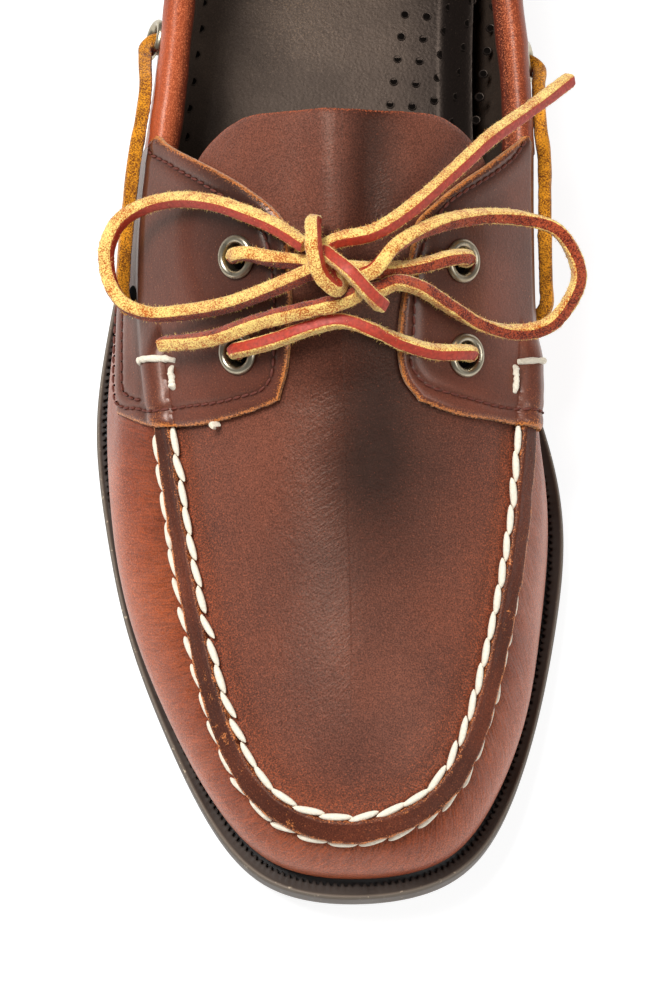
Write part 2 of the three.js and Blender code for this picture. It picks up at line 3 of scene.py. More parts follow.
import bmesh
import bpy
import numpy as np
from mathutils import Euler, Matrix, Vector


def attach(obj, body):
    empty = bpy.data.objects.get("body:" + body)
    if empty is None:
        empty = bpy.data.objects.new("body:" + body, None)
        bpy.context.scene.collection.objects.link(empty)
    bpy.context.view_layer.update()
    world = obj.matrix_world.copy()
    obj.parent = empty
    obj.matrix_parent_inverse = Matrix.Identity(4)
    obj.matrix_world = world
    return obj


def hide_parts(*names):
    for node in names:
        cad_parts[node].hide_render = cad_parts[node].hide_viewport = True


# Boat shoe, right foot. Sizes are in millimetres in the code and in metres in the meshes.
# Toe towards -Y, heel +Y, big-toe (inner) side +X, floor z = 0.

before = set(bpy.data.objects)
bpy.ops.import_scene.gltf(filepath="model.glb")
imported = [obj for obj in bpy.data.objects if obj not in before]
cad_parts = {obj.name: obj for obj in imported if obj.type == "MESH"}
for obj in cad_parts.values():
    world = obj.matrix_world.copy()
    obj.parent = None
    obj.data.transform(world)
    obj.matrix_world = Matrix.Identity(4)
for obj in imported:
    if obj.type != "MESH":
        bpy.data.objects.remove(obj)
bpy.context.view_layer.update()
mm = 0.001
gap = 0.3  # air between two pieces that meet
random = np.random.default_rng(11)
print("stage: frame loaded,", len(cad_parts), "nodes")

cameraView = {"elevation": 72.0, "distance": 820.0, "aim": (1.5, -62.0, 25.0), "lens": 130.32,
              "sensor": 36.0, "nearest": 0.05, "farthest": 30}


def addCamera():
    # looks at the aim point from the toe side, raised by the elevation angle
    up = math.radians(cameraView["elevation"])
    aim = Vector(cameraView["aim"])
    place = aim + cameraView["distance"] * Vector((0, -math.cos(up), math.sin(up)))
    data = bpy.data.cameras.new("camera")
    data.lens = cameraView["lens"]
    data.sensor_width = cameraView["sensor"]
    data.clip_start = cameraView["nearest"]
    data.clip_end = cameraView["farthest"]
    camera = bpy.data.objects.new("camera", data)
    camera.location = place * mm
    camera.rotation_euler = Euler((math.pi / 2 - up, 0, 0))
    bpy.context.scene.collection.objects.link(camera)
    bpy.context.scene.camera = camera


addCamera()

# The last's surface: closed curves through one row of points for each section of the foot.
# Middle line of the top: across, along, height, from the toe (row 0) to the heel (row 14).
spineRows = np.array([
    [5, -128.5, 43.5], [5, -123, 46], [5, -112.5, 49], [5, -97.5, 52.5], [4.5, -80.5, 56],
    [4, -62.5, 61], [3.5, -43.5, 69], [3, -24, 78], [3, -6, 84], [3, 12, 88.5],
    [2, 46, 92], [2, 80, 94], [2.5, 106, 94], [3, 122, 92], [3, 130, 90],
])

# each side: sole edge across and along, rim width, bulge of the wall, seam across, along and height
innerRows = np.array([
    [6.5, -152.3, 4.6, 2.8, 4.7, -141.2, 37.5], [26, -148, 4.4, 3.5, 19, -137, 37.5],
    [38.5, -134.5, 4.2, 3.5, 29, -125.7, 38], [46.4, -113, 4, 5, 35.3, -106.3, 38.5],
    [51.4, -90, 4, 2.5, 39.9, -84.5, 39.5], [54, -66, 4.4, 2, 42.6, -64.5, 41],
    [51, -43.5, 4.2, 3, 43.8, -43, 43.5], [44.5, -21, 3.4, 7, 43.7, -21.5, 48.5],
    [40.2, 0, 2.6, 11, 43.3, 0, 56], [38.5, 22, 2.4, 13, 43, 21, 60.5],
    [38.5, 50, 2.4, 11, 41, 48, 61], [40, 82, 2.6, 7, 38, 79, 62],
    [39.5, 112, 2.8, 5.5, 33.3, 109, 65], [30.5, 140, 3, 4.5, 22.5, 133, 71],
    [3, 152, 3, 5, 3, 142.5, 75],
])
outerRows = np.array([
    innerRows[0], [-13.5, -148.3, 4.6, 3.8, -8.8, -137.6, 37.5],
    [-27, -133.5, 4.2, 5.5, -19, -126.5, 37.5], [-37, -113, 3.8, 7.5, -26.2, -106.2, 38],
    [-45.6, -90, 3.6, 8.5, -30.7, -85.4, 39], [-51, -66, 3.4, 7, -34.1, -64.5, 40],
    [-54, -41, 3.2, 2.8, -37.1, -43, 42.5], [-52.2, -19, 3, 2.5, -39.4, -21.5, 47.5],
    [-48.5, 2, 2.8, 2.2, -38.9, 0, 55], [-44, 24, 2.6, 3, -36.2, 21, 60],
    [-39, 51, 2.5, 5.5, -33.9, 48, 61], [-35.6, 82, 2.6, 5.5, -31.2, 79, 62],
    [-33.8, 112, 2.8, 5, -27.5, 109, 65], [-25, 140, 3, 4, -16.5, 133, 71], innerRows[14],
])
lastRow = len(spineRows) - 1
around = 2 * lastRow
wallShare = 0.55  # height of the wall curve's middle point, as a share of the wall
crownShare = 0.6  # where the top curve's middle point lies between the seam and the spine


def controlsThrough(inner, outer):
    # control values of the closed cubic B-spline through the rows: (before + 4 own + after) / 6
    values = np.concatenate([inner, outer[lastRow - 1 : 0 : -1]])
    same = np.eye(len(values))
    matrix = same * 4 + np.roll(same, 1, 0) + np.roll(same, -1, 0)
    return np.linalg.solve(matrix / 6, values)


spineLoop = controlsThrough(spineRows, spineRows)
sideLoop = controlsThrough(innerRows, outerRows)


def loopValue(controls, place):
    # the B-spline's value at a place: four neighbouring controls with cubic weights
    wrapped = np.asarray(place, float) % around
    start = np.floor(wrapped).astype(int)
    f = wrapped - start
    weights = [(1 - f) ** 3, 3 * f**3 - 6 * f**2 + 4, -3 * f**3 + 3 * f**2 + 3 * f + 1, f**3]
    total = 0
    for k, weight in enumerate(weights):
        total = total + weight[..., None] * controls[(start + k - 1) % around]
    return total / 6


def smoothRise(value, start, end):
    # 0 before start, 1 after end, with level ends between
    f = np.clip((value - start) / (end - start), 0, 1)
    return f * f * (3 - 2 * f)


def hump(value, middle, width):
    # bell curve of height 1
    return np.exp(-(((value - middle) / width) ** 2))


def unit(vectors):
    return vectors / np.maximum(np.linalg.norm(vectors, axis=-1, keepdims=True), 1e-9)


def runAlong(points):
    # length of the line of points up to each of them
    return np.concatenate([[0], np.cumsum(np.linalg.norm(np.diff(points, axis=0), axis=1))])


# the sole's heights in millimetres, and the y where each rise starts and ends
soleShape = {"thick": 9.5, "spring": 8.5, "springAt": (-66, -152), "heel": 10, "heelAt": (-40, 66),
             "arch": 3, "archRise": (-26, 11), "archFall": (11, 48), "back": 1.5, "backAt": (141, 152)}


def curlUp(y, start, end):
    # 0 before start, then the square of the distance, 1 at the end
    return np.maximum((y - start) / (end - start), 0) ** 2


def soleTopAt(y):
    # thickness, curl of the toe and rise of the heel
    lift = soleShape["spring"] * curlUp(y, *soleShape["springAt"])
    return soleShape["thick"] + lift + soleShape["heel"] * smoothRise(y, *soleShape["heelAt"])


def soleBottomAt(y):
    # curl of the toe, low arch and curl behind the heel
    arch = smoothRise(y, *soleShape["archRise"]) - smoothRise(y, *soleShape["archFall"])
    lift = soleShape["spring"] * curlUp(y, *soleShape["springAt"])
    return lift + soleShape["arch"] * arch + soleShape["back"] * curlUp(y, *soleShape["backAt"])


def edgeAt(place):
    # point of the sole's outline, its outward direction and the side's other values
    step = 0.02
    side = loopValue(sideLoop, place)
    run = loopValue(sideLoop, place + step)[..., :2] - loopValue(sideLoop, place - step)[..., :2]
    run = run / np.linalg.norm(run, axis=-1, keepdims=True)
    out = np.stack([run[..., 1], -run[..., 0]], -1)
    return side[..., :2], out, side


def rowOf(place):
    # row counted from the toe on either side
    return np.abs((np.asarray(place, float) + lastRow) % around - lastRow)


def spineSlope(place):
    # rise of the middle line over its run
    step = 0.25
    row = np.clip(rowOf(place), step, lastRow - 2 * step)
    rise = loopValue(spineLoop, row + step) - loopValue(spineLoop, row - step)
    return rise[..., 2] / rise[..., 1]


def surfaceAt(place, t):
    # t 0 at the sole, 1 at the moccasin seam or collar, 2 at the spine: two arcs, each a quadratic
    place, t = np.broadcast_arrays(np.asarray(place, float), np.asarray(t, float))
    edge, out, side = edgeAt(place)
    spine = loopValue(spineLoop, place)
    footXy = edge - out * side[..., 2:3]
    foot = np.concatenate([footXy, (soleTopAt(footXy[..., 1]) + gap)[..., None]], -1)
    seam = side[..., 4:7]
    middle = (foot + wallShare * (seam - foot))[..., 2:]
    wallMiddle = np.concatenate([footXy + out * side[..., 3:4], middle], -1)
    topMiddle = seam + crownShare * (spine - seam)
    topMiddle[..., 2] = spine[..., 2] + spineSlope(place) * (topMiddle[..., 1] - spine[..., 1])
    low = (t <= 1)[..., None]
    f = np.where(t <= 1, t, t - 1)[..., None]
    start, end = np.where(low, foot, seam), np.where(low, seam, spine)
    pull = np.where(low, wallMiddle, topMiddle)
    return start * (1 - f) ** 2 + 2 * pull * f * (1 - f) + end * f**2


def normalAt(place, t):
    # cross product of the direction round the rim and the direction up the wall
    step = 0.04
    place, t = np.broadcast_arrays(np.asarray(place, float), np.asarray(t, float))
    along = surfaceAt(place + step, t) - surfaceAt(place - step, t)
    upward = surfaceAt(place, np.minimum(t + step, 2)) - surfaceAt(place, np.maximum(t - step, 0))
    normal = np.cross(along, upward)
    slope = spineSlope(place)
    top = np.stack([0 * slope, -slope, 1 + 0 * slope], -1)
    normal = np.where((t > 1.999)[..., None], top, normal)
    return normal / np.linalg.norm(normal, axis=-1, keepdims=True)


def liftedAt(place, t, lift):
    # the surface point moved along its normal
    return surfaceAt(place, t) + normalAt(place, t) * np.asarray(lift, float)[..., None]


def seamAt(place):
    # the moccasin seam's line, which is the collar's behind
    return surfaceAt(place, np.ones_like(place))


def tFromSeam(place, distance):
    # t at a distance in millimetres from the seam line, negative down the wall
    place, distance = np.broadcast_arrays(np.asarray(place, float), np.asarray(distance, float))
    step = 0.05
    run = surfaceAt(place, 1 + np.where(distance < 0, -step, step)) - seamAt(place)
    return 1 + distance * step / np.linalg.norm(run, axis=-1)


def gridQuads(rows, columns, keep=None):
    # one face for each cell of a grid of points, or for the cells kept
    number = np.arange(rows * columns).reshape(rows, columns)
    quads = np.stack([number[:-1, :-1], number[1:, :-1], number[1:, 1:], number[:-1, 1:]], -1)
    return quads.reshape(-1, 4) if keep is None else quads[keep]


def addPiece(name, points, faces, materials, slots=None, masks=None, uv=None, sharp=40, weld=0.002):
    # points in millimetres; slots: material number of each face; masks: named value of each point
    mesh = bpy.data.meshes.new(name)
    used, faces = np.unique(np.asarray(faces), return_inverse=True)
    faces = faces.reshape(-1, 4)
    points = np.asarray(points, float).reshape(-1, 3)[used]
    mesh.from_pydata((points * mm).tolist(), [], faces.tolist())
    for material in materials:
        mesh.materials.append(material)
    if slots is not None:
        mesh.polygons.foreach_set("material_index", np.asarray(slots, np.int32))
    for maskName, values in (masks or {}).items():
        layer = mesh.attributes.new(maskName, "FLOAT", "POINT")
        layer.data.foreach_set("value", np.asarray(values, np.float32).ravel()[used])
    if uv is not None:
        corners = np.empty(len(mesh.loops), np.int32)
        mesh.loops.foreach_get("vertex_index", corners)
        layer = mesh.uv_layers.new(name="UVMap")
        layer.data.foreach_set("uv", np.asarray(uv, np.float32).reshape(-1, 2)[used][corners].ravel())
    if weld:
        work = bmesh.new()
        work.from_mesh(mesh)
        bmesh.ops.remove_doubles(work, verts=work.verts, dist=weld * mm)
        work.to_mesh(mesh)
        work.free()
    mesh.polygons.foreach_set("use_smooth", np.ones(len(mesh.polygons), bool))
    mesh.update()
    mesh.set_sharp_from_angle(angle=math.radians(sharp))
    piece = bpy.data.objects.new(name, mesh)
    bpy.context.scene.collection.objects.link(piece)
    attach(piece, "root")
    return piece


def closedSheet(outer, inner, keep=None):
    # two grids of points joined along every free edge; points that meet count as one
    # faces are numbered 0 outer, 1 inner, 2 edge
    rows, columns = outer.shape[:2]
    count = rows * columns
    cell, shift = 0.005, 0.137  # size of the box in which points meet, and its start in boxes
    cells = np.round(outer.reshape(-1, 3) / cell + shift).astype(np.int64)
    _, first, same = np.unique(cells, axis=0, return_index=True, return_inverse=True)
    one = first[same.ravel()]
    top = gridQuads(rows, columns, keep)
    edges = np.concatenate([top[:, [k, (k + 1) % 4]] for k in range(4)])
    ends = one[edges]
    there, back = ends[:, 0] * count + ends[:, 1], ends[:, 1] * count + ends[:, 0]
    free = edges[~np.isin(there, back) & (ends[:, 0] != ends[:, 1])]
    sides = np.stack([free[:, 1], free[:, 0], free[:, 0] + count, free[:, 1] + count], -1)
    points = np.concatenate([outer.reshape(-1, 3), inner.reshape(-1, 3)])
    faces = np.concatenate([top, top[:, ::-1] + count, sides])
    slots = np.repeat([0, 1, 2], [len(top), len(top), len(sides)])
    return points, faces, slots


def addSheet(name, outer, inner, materials, burnishAndShade, wearAndHighlight, keep=None, uv=None, weld=0.002):
    # a closed sheet of leather; masks and seam places are the same for both of its grids
    points, faces, slots = closedSheet(outer, inner, keep)
    masks = {"burnishAndShade": np.stack([burnishAndShade, burnishAndShade]), "wearAndHighlight": np.stack([wearAndHighlight, wearAndHighlight])}
    places = None if uv is None else np.stack([uv, uv])
    return addPiece(name, points, faces, materials, slots, masks, places, weld=weld)


def tube(line, section):
    # closed rings along a line (steps, points, 3); each end closes in a ring drawn together on the line
    first = np.broadcast_to(line[0], section[:1].shape)
    last = np.broadcast_to(line[-1], section[:1].shape)
    rings = np.concatenate([first, section, last])
    rows, columns = rings.shape[:2]
    number = np.arange(rows * columns).reshape(rows, columns)
    after = np.roll(number, -1, 1)
    quads = np.stack([number[:-1], after[:-1], after[1:], number[1:]], -1).reshape(-1, 4)
    return rings.reshape(-1, 3), quads


def ringValues(values):
    # values of each ring point, repeated for the two drawn-together end rings
    return np.concatenate([values[:1], values, values[-1:]]).ravel()


def ringPoints(line, first, second, angle, size):
    # a ring round each point of the line: size times (cos angle times first plus sin angle times second)
    circle = np.cos(angle)[..., None] * first[:, None] + np.sin(angle)[..., None] * second[:, None]
    return line[:, None] + size[..., None] * circle


def noiseAlong(count, knots, size):
    # smooth random values: a few seeded knots joined by a cubic
    values = random.normal(0, size, knots + 3)
    place = np.linspace(0, knots - 1e-6, count)
    start = place.astype(int)
    f = smoothRise(place - start, 0, 1)
    return values[start] * (1 - f) + values[start + 1] * f


def toLinear(colour):
    # screen colour 0..255 to the linear colour a shader takes
    values = np.array(colour) / 255
    linear = np.where(values <= 0.04045, values / 12.92, ((values + 0.055) / 1.055) ** 2.4)
    return tuple(float(v) for v in linear) + (1.0,)


def feed(tree, socket, value):
    # a value is set, another node's output is linked
    if isinstance(value, bpy.types.NodeSocket):
        tree.links.new(value, socket)
    else:
        socket.default_value = value


def addNode(tree, kind, inputs=None, **settings):
    node = tree.nodes.new(kind)
    for key, value in settings.items():
        setattr(node, key, value)
    for key, value in (inputs or {}).items():
        feed(tree, node.inputs[key], value)
    return node


def noise(tree, vector, scale, detail=2.0, roughness=0.5, distortion=0.0):
    # plain noise, 0..1 round 0.5
    inputs = {"Vector": vector, "Scale": scale, "Detail": detail, "Roughness": roughness,
              "Distortion": distortion}
    return addNode(tree, "ShaderNodeTexNoise", inputs).outputs[0]


def multiplyAdd(tree, value, factor, addend=0.0):
    # value times factor plus addend
    inputs = {0: value, 1: factor, 2: addend}
    return addNode(tree, "ShaderNodeMath", inputs, operation="MULTIPLY_ADD").outputs[0]


def mixColour(tree, factor, first, second):
    # the first colour at factor 0, the second at 1
    node = addNode(tree, "ShaderNodeMix", data_type="RGBA")
    for key, value in ((0, factor), (6, first), (7, second)):
        feed(tree, node.inputs[key], value)
    return node.outputs[2]


def spread(tree, value, low, high, start=0.0, end=1.0):
    # value between low and high, stretched to run from start to end
    inputs = {"Value": value, "From Min": low, "From Max": high, "To Min": start, "To Max": end}
    return addNode(tree, "ShaderNodeMapRange", inputs).outputs[0]


def makeGroup(name, inputs, outputs, fill):
    # an input with no value is a vector; fill takes the input sockets and returns the outputs' values
    group = bpy.data.node_groups.new(name, "ShaderNodeTree")
    for socketName, value in inputs.items():
        kind = "NodeSocketVector" if value is None else "NodeSocketFloat"
        socket = group.interface.new_socket(socketName, in_out="INPUT", socket_type=kind)
        if value is not None:
            socket.default_value = value
    for socketName in outputs:
        group.interface.new_socket(socketName, in_out="OUTPUT", socket_type="NodeSocketFloat")
    source, result = group.nodes.new("NodeGroupInput"), group.nodes.new("NodeGroupOutput")
    values = fill(group, *(source.outputs[key] for key in inputs))
    for key, value in zip(outputs, values):
        group.links.new(value, result.inputs[key])
    return group


# scale, detail, roughness and distortion of each noise
grainLook = {"creases": (420.0, 5.0, 0.65, 0.8), "speckle": (3000.0, 1.5, 0.7), "mottle": (38.0, 4.0, 0.6),
             "poreDepth": 0.5}
creaseLook = {"lean": 0.45, "stretch": (1150, 190, 1), "noise": (1.0, 3.0, 0.6, 0.9),
              "deepest": 0.36, "level": 0.62, "far": 0.25}
napLook = {"fine": (2.0, 0.8), "broad": (300.0,), "broadShare": 0.35, "dark": 0.56, "light": 0.76}


def fillGrain(tree, vector, poreScale):
    # fine pores and a wrinkle net for the height, speckle and broad mottling for the colour
    inputs = {"Vector": vector, "Scale": poreScale}
    pores = addNode(tree, "ShaderNodeTexVoronoi", inputs, feature="SMOOTH_F1")
    names = ("creases", "speckle", "mottle")
    creases, speckle, mottle = (noise(tree, vector, *grainLook[key]) for key in names)
    return multiplyAdd(tree, pores.outputs["Distance"], grainLook["poreDepth"], creases), speckle, mottle


def fillWrinkles(tree, seamPlace, reach):
    # creases that run away from the seam: noise stretched across it, fading with the distance in metres
    parts = addNode(tree, "ShaderNodeSeparateXYZ", {0: seamPlace})
    lean = multiplyAdd(tree, parts.outputs[1], creaseLook["lean"], parts.outputs[0])
    slanted = addNode(tree, "ShaderNodeCombineXYZ", {0: lean, 1: parts.outputs[1]})
    inputs = {0: slanted.outputs[0], 1: creaseLook["stretch"]}
    stretched = addNode(tree, "ShaderNodeVectorMath", inputs, operation="MULTIPLY").outputs[0]
    lines = noise(tree, stretched, *creaseLook["noise"])
    creases = spread(tree, lines, creaseLook["deepest"], creaseLook["level"], 1.0, 0.0)
    return [multiplyAdd(tree, creases, spread(tree, parts.outputs[1], 0.0, reach, 1.0, creaseLook["far"]))]


def fillNap(tree, vector, napScale):
    # fibrous nap: two sizes of rough noise
    fine = noise(tree, vector, napScale, *napLook["fine"])
    tone = multiplyAdd(tree, noise(tree, vector, *napLook["broad"]), napLook["broadShare"], fine)
    return fine, spread(tree, tone, napLook["dark"], napLook["light"])


grainGroup = makeGroup("leatherGrain", {"Vector": None, "Pore Scale": 1500.0},
                       ["Height", "Speckle", "Mottle"], fillGrain)
suedeGroup = makeGroup("suedeNap", {"Vector": None, "Nap Scale": 2400.0}, ["Height", "Tone"], fillNap)
wrinkleGroup = makeGroup("seamWrinkles", {"Seam Place": None, "Reach": 0.012}, ["Depth"], fillWrinkles)


def placeGroup(tree, group, inputs):
    # a node group in a material, with its inputs fed
    node = tree.nodes.new("ShaderNodeGroup")
    node.node_tree = group
    for key, value in inputs.items():
        feed(tree, node.inputs[key], value)
    return node.outputs


def startMaterial(name, shader):
    # a Principled surface with the given inputs, and the object's own coordinates
    material = bpy.data.materials.new(name)
    material.use_nodes = True
    tree = material.node_tree
    tree.nodes.clear()
    output = tree.nodes.new("ShaderNodeOutputMaterial")
    surface = tree.nodes.new("ShaderNodeBsdfPrincipled")
    for key, value in shader.items():
        surface.inputs[key].default_value = value
    tree.links.new(surface.outputs[0], output.inputs["Surface"])
    return material, tree, surface, tree.nodes.new("ShaderNodeTexCoord").outputs["Object"]


def finishMaterial(tree, surface, colour, rough, height, strength, distance):
    # colour and roughness where they vary, and a bump of the height, with the distance in metres
    tree.links.new(colour, surface.inputs["Base Color"])
    if rough is not None:
        tree.links.new(rough, surface.inputs["Roughness"])
    bump = addNode(tree, "ShaderNodeBump", {"Height": height, "Strength": strength, "Distance": distance})
    tree.links.new(bump.outputs[0], surface.inputs["Normal"])


def maskValue(tree, name):
    # a mask kept on the mesh's points
    return addNode(tree, "ShaderNodeAttribute", attribute_name=name).outputs["Fac"]


leatherCommon = {"coatRoughness": 0.27, "warmShine": (255, 226, 206), "warmCoat": (255, 232, 214),
                 "grainHeight": 0.00026, "pores": 1700.0, "coat": 0.0, "wrinkle": 0, "reach": 0.012}
leatherLooks = {
    "upper": {"light": (166, 82, 46), "mid": (142, 66, 38), "deep": (66, 30, 22), "worn": (178, 92, 56),
              "rough": 0.4, "coat": 0.26, "shine": 0.28, "speckle": 0.34, "bump": 0.55, "wrinkle": 2.8,
              "reach": 0.018},
    "plug": {"light": (122, 71, 55), "mid": (100, 60, 49), "deep": (40, 17, 11), "worn": (150, 74, 44),
             "rough": 0.42, "shine": 0.28, "pores": 1900.0, "speckle": 0.42, "bump": 0.5, "wrinkle": 0.9,
             "reach": 0.009},
    "stay": {"light": (116, 63, 48), "mid": (92, 50, 39), "deep": (50, 27, 22), "worn": (196, 122, 62),
             "rough": 0.38, "coat": 0.4, "shine": 0.45, "speckle": 0.26, "bump": 0.34},
    "ridge": {"light": (106, 50, 32), "mid": (78, 36, 24), "deep": (46, 20, 14), "worn": (196, 118, 66),
              "rough": 0.5, "shine": 0.35, "pores": 1300.0, "speckle": 0.36, "bump": 0.7},
    "collar": {"light": (178, 84, 48), "mid": (150, 66, 38), "deep": (86, 34, 22), "worn": (200, 112, 72),
               "rough": 0.42, "coat": 0.1, "shine": 0.4, "speckle": 0.26, "bump": 0.4},
    "lining": {"light": (76, 64, 55), "mid": (56, 47, 41), "deep": (16, 12, 11), "worn": (96, 78, 62),
               "rough": 0.46, "shine": 0.4, "pores": 1500.0, "speckle": 0.3, "bump": 0.4},
}


def leatherMaterial(name, look):
    # waxed leather: light to deep by the mottling and by the mask of burnish and painted shade, then worn
    # along ragged edges
    light, mid, deep, worn = (toLinear(look[key]) for key in ("light", "mid", "deep", "worn"))
    material, tree, surface, where = startMaterial(name, {
        "Coat Weight": look["coat"], "Coat Roughness": look["coatRoughness"],
        "Specular IOR Level": look["shine"], "Specular Tint": toLinear(look["warmShine"]),
        "Coat Tint": toLinear(look["warmCoat"])})
    grain = placeGroup(tree, grainGroup, {"Vector": where, "Pore Scale": look["pores"]})
    mottle, speckle, height = grain["Mottle"], grain["Speckle"], grain["Height"]
    colour = mixColour(tree, spread(tree, mottle, 0.36, 0.66), light, mid)
    colour = mixColour(tree, maskValue(tree, "burnishAndShade"), colour, deep)
    torn = multiplyAdd(tree, speckle, 1.4, maskValue(tree, "wearAndHighlight"))
    colour = mixColour(tree, spread(tree, torn, 0.95, 1.35), colour, worn)
    tone = spread(tree, speckle, 0.35, 0.68, 1 - look["speckle"], 1 + look["speckle"])
    if look["wrinkle"]:
        seamPlace = addNode(tree, "ShaderNodeUVMap", uv_map="UVMap").outputs[0]
        depth = placeGroup(tree, wrinkleGroup, {"Seam Place": seamPlace, "Reach": look["reach"]})["Depth"]
        height = multiplyAdd(tree, depth, -look["wrinkle"], height)
        # painted shade: the creases are also darkened in colour
        tone = multiplyAdd(tree, depth, -0.125 * look["wrinkle"], tone)
    tinted = addNode(tree, "ShaderNodeVectorMath", {0: colour, "Scale": tone}, operation="SCALE")
    rough = spread(tree, mottle, 0.3, 0.7, look["rough"] - 0.05, look["rough"] + 0.07)
    finishMaterial(tree, surface, tinted.outputs[0], rough, height, look["bump"], look["grainHeight"])
    return material


def suedeMaterial(name, low, high, nap, bump=0.9):
    # cut leather: a fibrous nap between two colours
    material, tree, surface, where = startMaterial(name, {"Roughness": 0.95, "Sheen Weight": 0.25,
                                                          "Specular IOR Level": 0.2})
    fibres = placeGroup(tree, suedeGroup, {"Vector": where, "Nap Scale": nap})
    colour = mixColour(tree, fibres["Tone"], toLinear(low), toLinear(high))
    finishMaterial(tree, surface, colour, None, fibres["Height"], bump, 0.0004)
    return material


def plainMaterial(name, colour, rough, bump=0.2, scale=900.0, metallic=0.0, vary=0.15, shine=0.5):
    # one colour with fine noise in tone and roughness
    shader = {"Metallic": metallic, "Specular IOR Level": shine}
    material, tree, surface, where = startMaterial(name, shader)
    fine = noise(tree, where, scale, 3.0)
    full = toLinear(colour)
    darker = tuple(c * (1 - 2 * vary) for c in full[:3]) + (1.0,)
    tone = mixColour(tree, spread(tree, fine, 0.3, 0.7), darker, full)
    rough = spread(tree, fine, 0.3, 0.7, rough + 0.1, rough - 0.05)
    finishMaterial(tree, surface, tone, rough, fine, bump, 0.0001)
    return material


leathers = {name: leatherMaterial(name + "Leather", leatherCommon | look)
            for name, look in leatherLooks.items()}
rawEdge = suedeMaterial("rawEdge", (96, 50, 22), (216, 142, 70), 2400.0, 0.8)
tanSuede = suedeMaterial("tanSuede", (188, 86, 8), (255, 226, 132), 2900.0)
goldSuede = suedeMaterial("goldSuede", (110, 54, 4), (232, 152, 26), 2900.0)
fleshSuede = suedeMaterial("fleshSuede", (84, 22, 8), (182, 78, 42), 2500.0)
laceGrain = plainMaterial("laceGrain", (188, 58, 34), 0.5, bump=0.5, scale=1300.0, vary=0.22)
handThread = plainMaterial("handThread", (242, 232, 212), 0.85, bump=1.0, scale=1500.0, vary=0.1, shine=0.2)
darkThread = plainMaterial("darkThread", (104, 44, 28), 0.6, bump=0.5, scale=1500.0)
nickel = plainMaterial("agedNickel", (186, 176, 154), 0.3, bump=0.08, scale=500.0, metallic=1.0, vary=0.12)
# near black, painted as the shade inside holes
paintedHoleShade = plainMaterial("paintedHoleShade", (12, 8, 6), 0.9, shine=0.05)
print("stage: materials made")

soleLook = {"teethPitch": 1.65, "teethDepth": 0.85, "channelDepth": 1.4, "channelWidth": 1.7, "lip": 0.22,
            "wave": 2.0, "waveLength": 22.0, "channelsAt": (-60, -46, -32, 66, 88, 110), "steps": 1400}
# the scuff colour is also the painted highlight along the lip; shade is painted into the channels
rubberLook = {"dark": (52, 42, 35), "light": (66, 55, 47), "dust": (120, 104, 88), "scuffAndHighlight": (128, 114, 98),
              "speck": (214, 196, 168), "shade": (24, 18, 15)}


def rubberMaterial():
    # dark rubber, paler where it is scuffed and in a painted highlight along the rim's lip, darkened by
    # painted shade in the channels and under the upper
    material, tree, surface, where = startMaterial("soleRubber", {})
    fine = noise(tree, where, 700.0, 4.0, 0.65)
    broad = noise(tree, where, 90.0, 3.0)
    scuffAndHighlightAmount = maskValue(tree, "wearAndHighlight")
    dark, light, dust, scuffAndHighlight, speck, shade = (toLinear(colour) for colour in rubberLook.values())
    colour = mixColour(tree, spread(tree, broad, 0.35, 0.65), dark, light)
    colour = mixColour(tree, spread(tree, fine, 0.66, 0.8, 0.0, 0.4), colour, dust)
    colour = mixColour(tree, spread(tree, scuffAndHighlightAmount, 0.0, 1.0, 0.0, 0.75), colour, scuffAndHighlight)
    specks = multiplyAdd(tree, scuffAndHighlightAmount, spread(tree, fine, 0.62, 0.7))
    colour = mixColour(tree, specks, colour, speck)
    colour = mixColour(tree, maskValue(tree, "burnishAndShade"), colour, shade)
    rough = spread(tree, broad, 0.3, 0.7, 0.5, 0.66)
    finishMaterial(tree, surface, colour, rough, fine, 0.35, 0.0002)
    return material


def soleRings(rim, low, high, tooth):
    # inset from the outline, height, scuff with a painted highlight on the lip, and painted shade of each
    # ring, from the channel down to the tread
    zero = 0 * rim
    wall = rim - soleLook["channelWidth"]
    floor, lip = high - soleLook["channelDepth"], high + soleLook["lip"]
    rings = [
        (rim + 1.5, high - 0.3, 0, 1), (rim - 0.1, floor, 0, 1), (wall + tooth, floor, 0, 1),
        (wall + tooth * 0.9 - 0.1, high - 0.25, 0, 0.7), (wall - 0.35, high, 0, 0.3),
        (zero + 1.0, high, 0, 0.15), (zero + 0.75, lip, 0.4, 0), (zero + 0.4, lip, 0.9, 0),
        (zero, high - 0.3, 0.5, 0), (zero - 0.05, high - 1.0, 0.4, 0),
    ]
    for share, inset in ((0.75, 0.0), (0.5, 0.05), (0.3, 0.15)):
        rings.append((zero + inset, low + share * (high - low), 0.35, 0))
    return rings


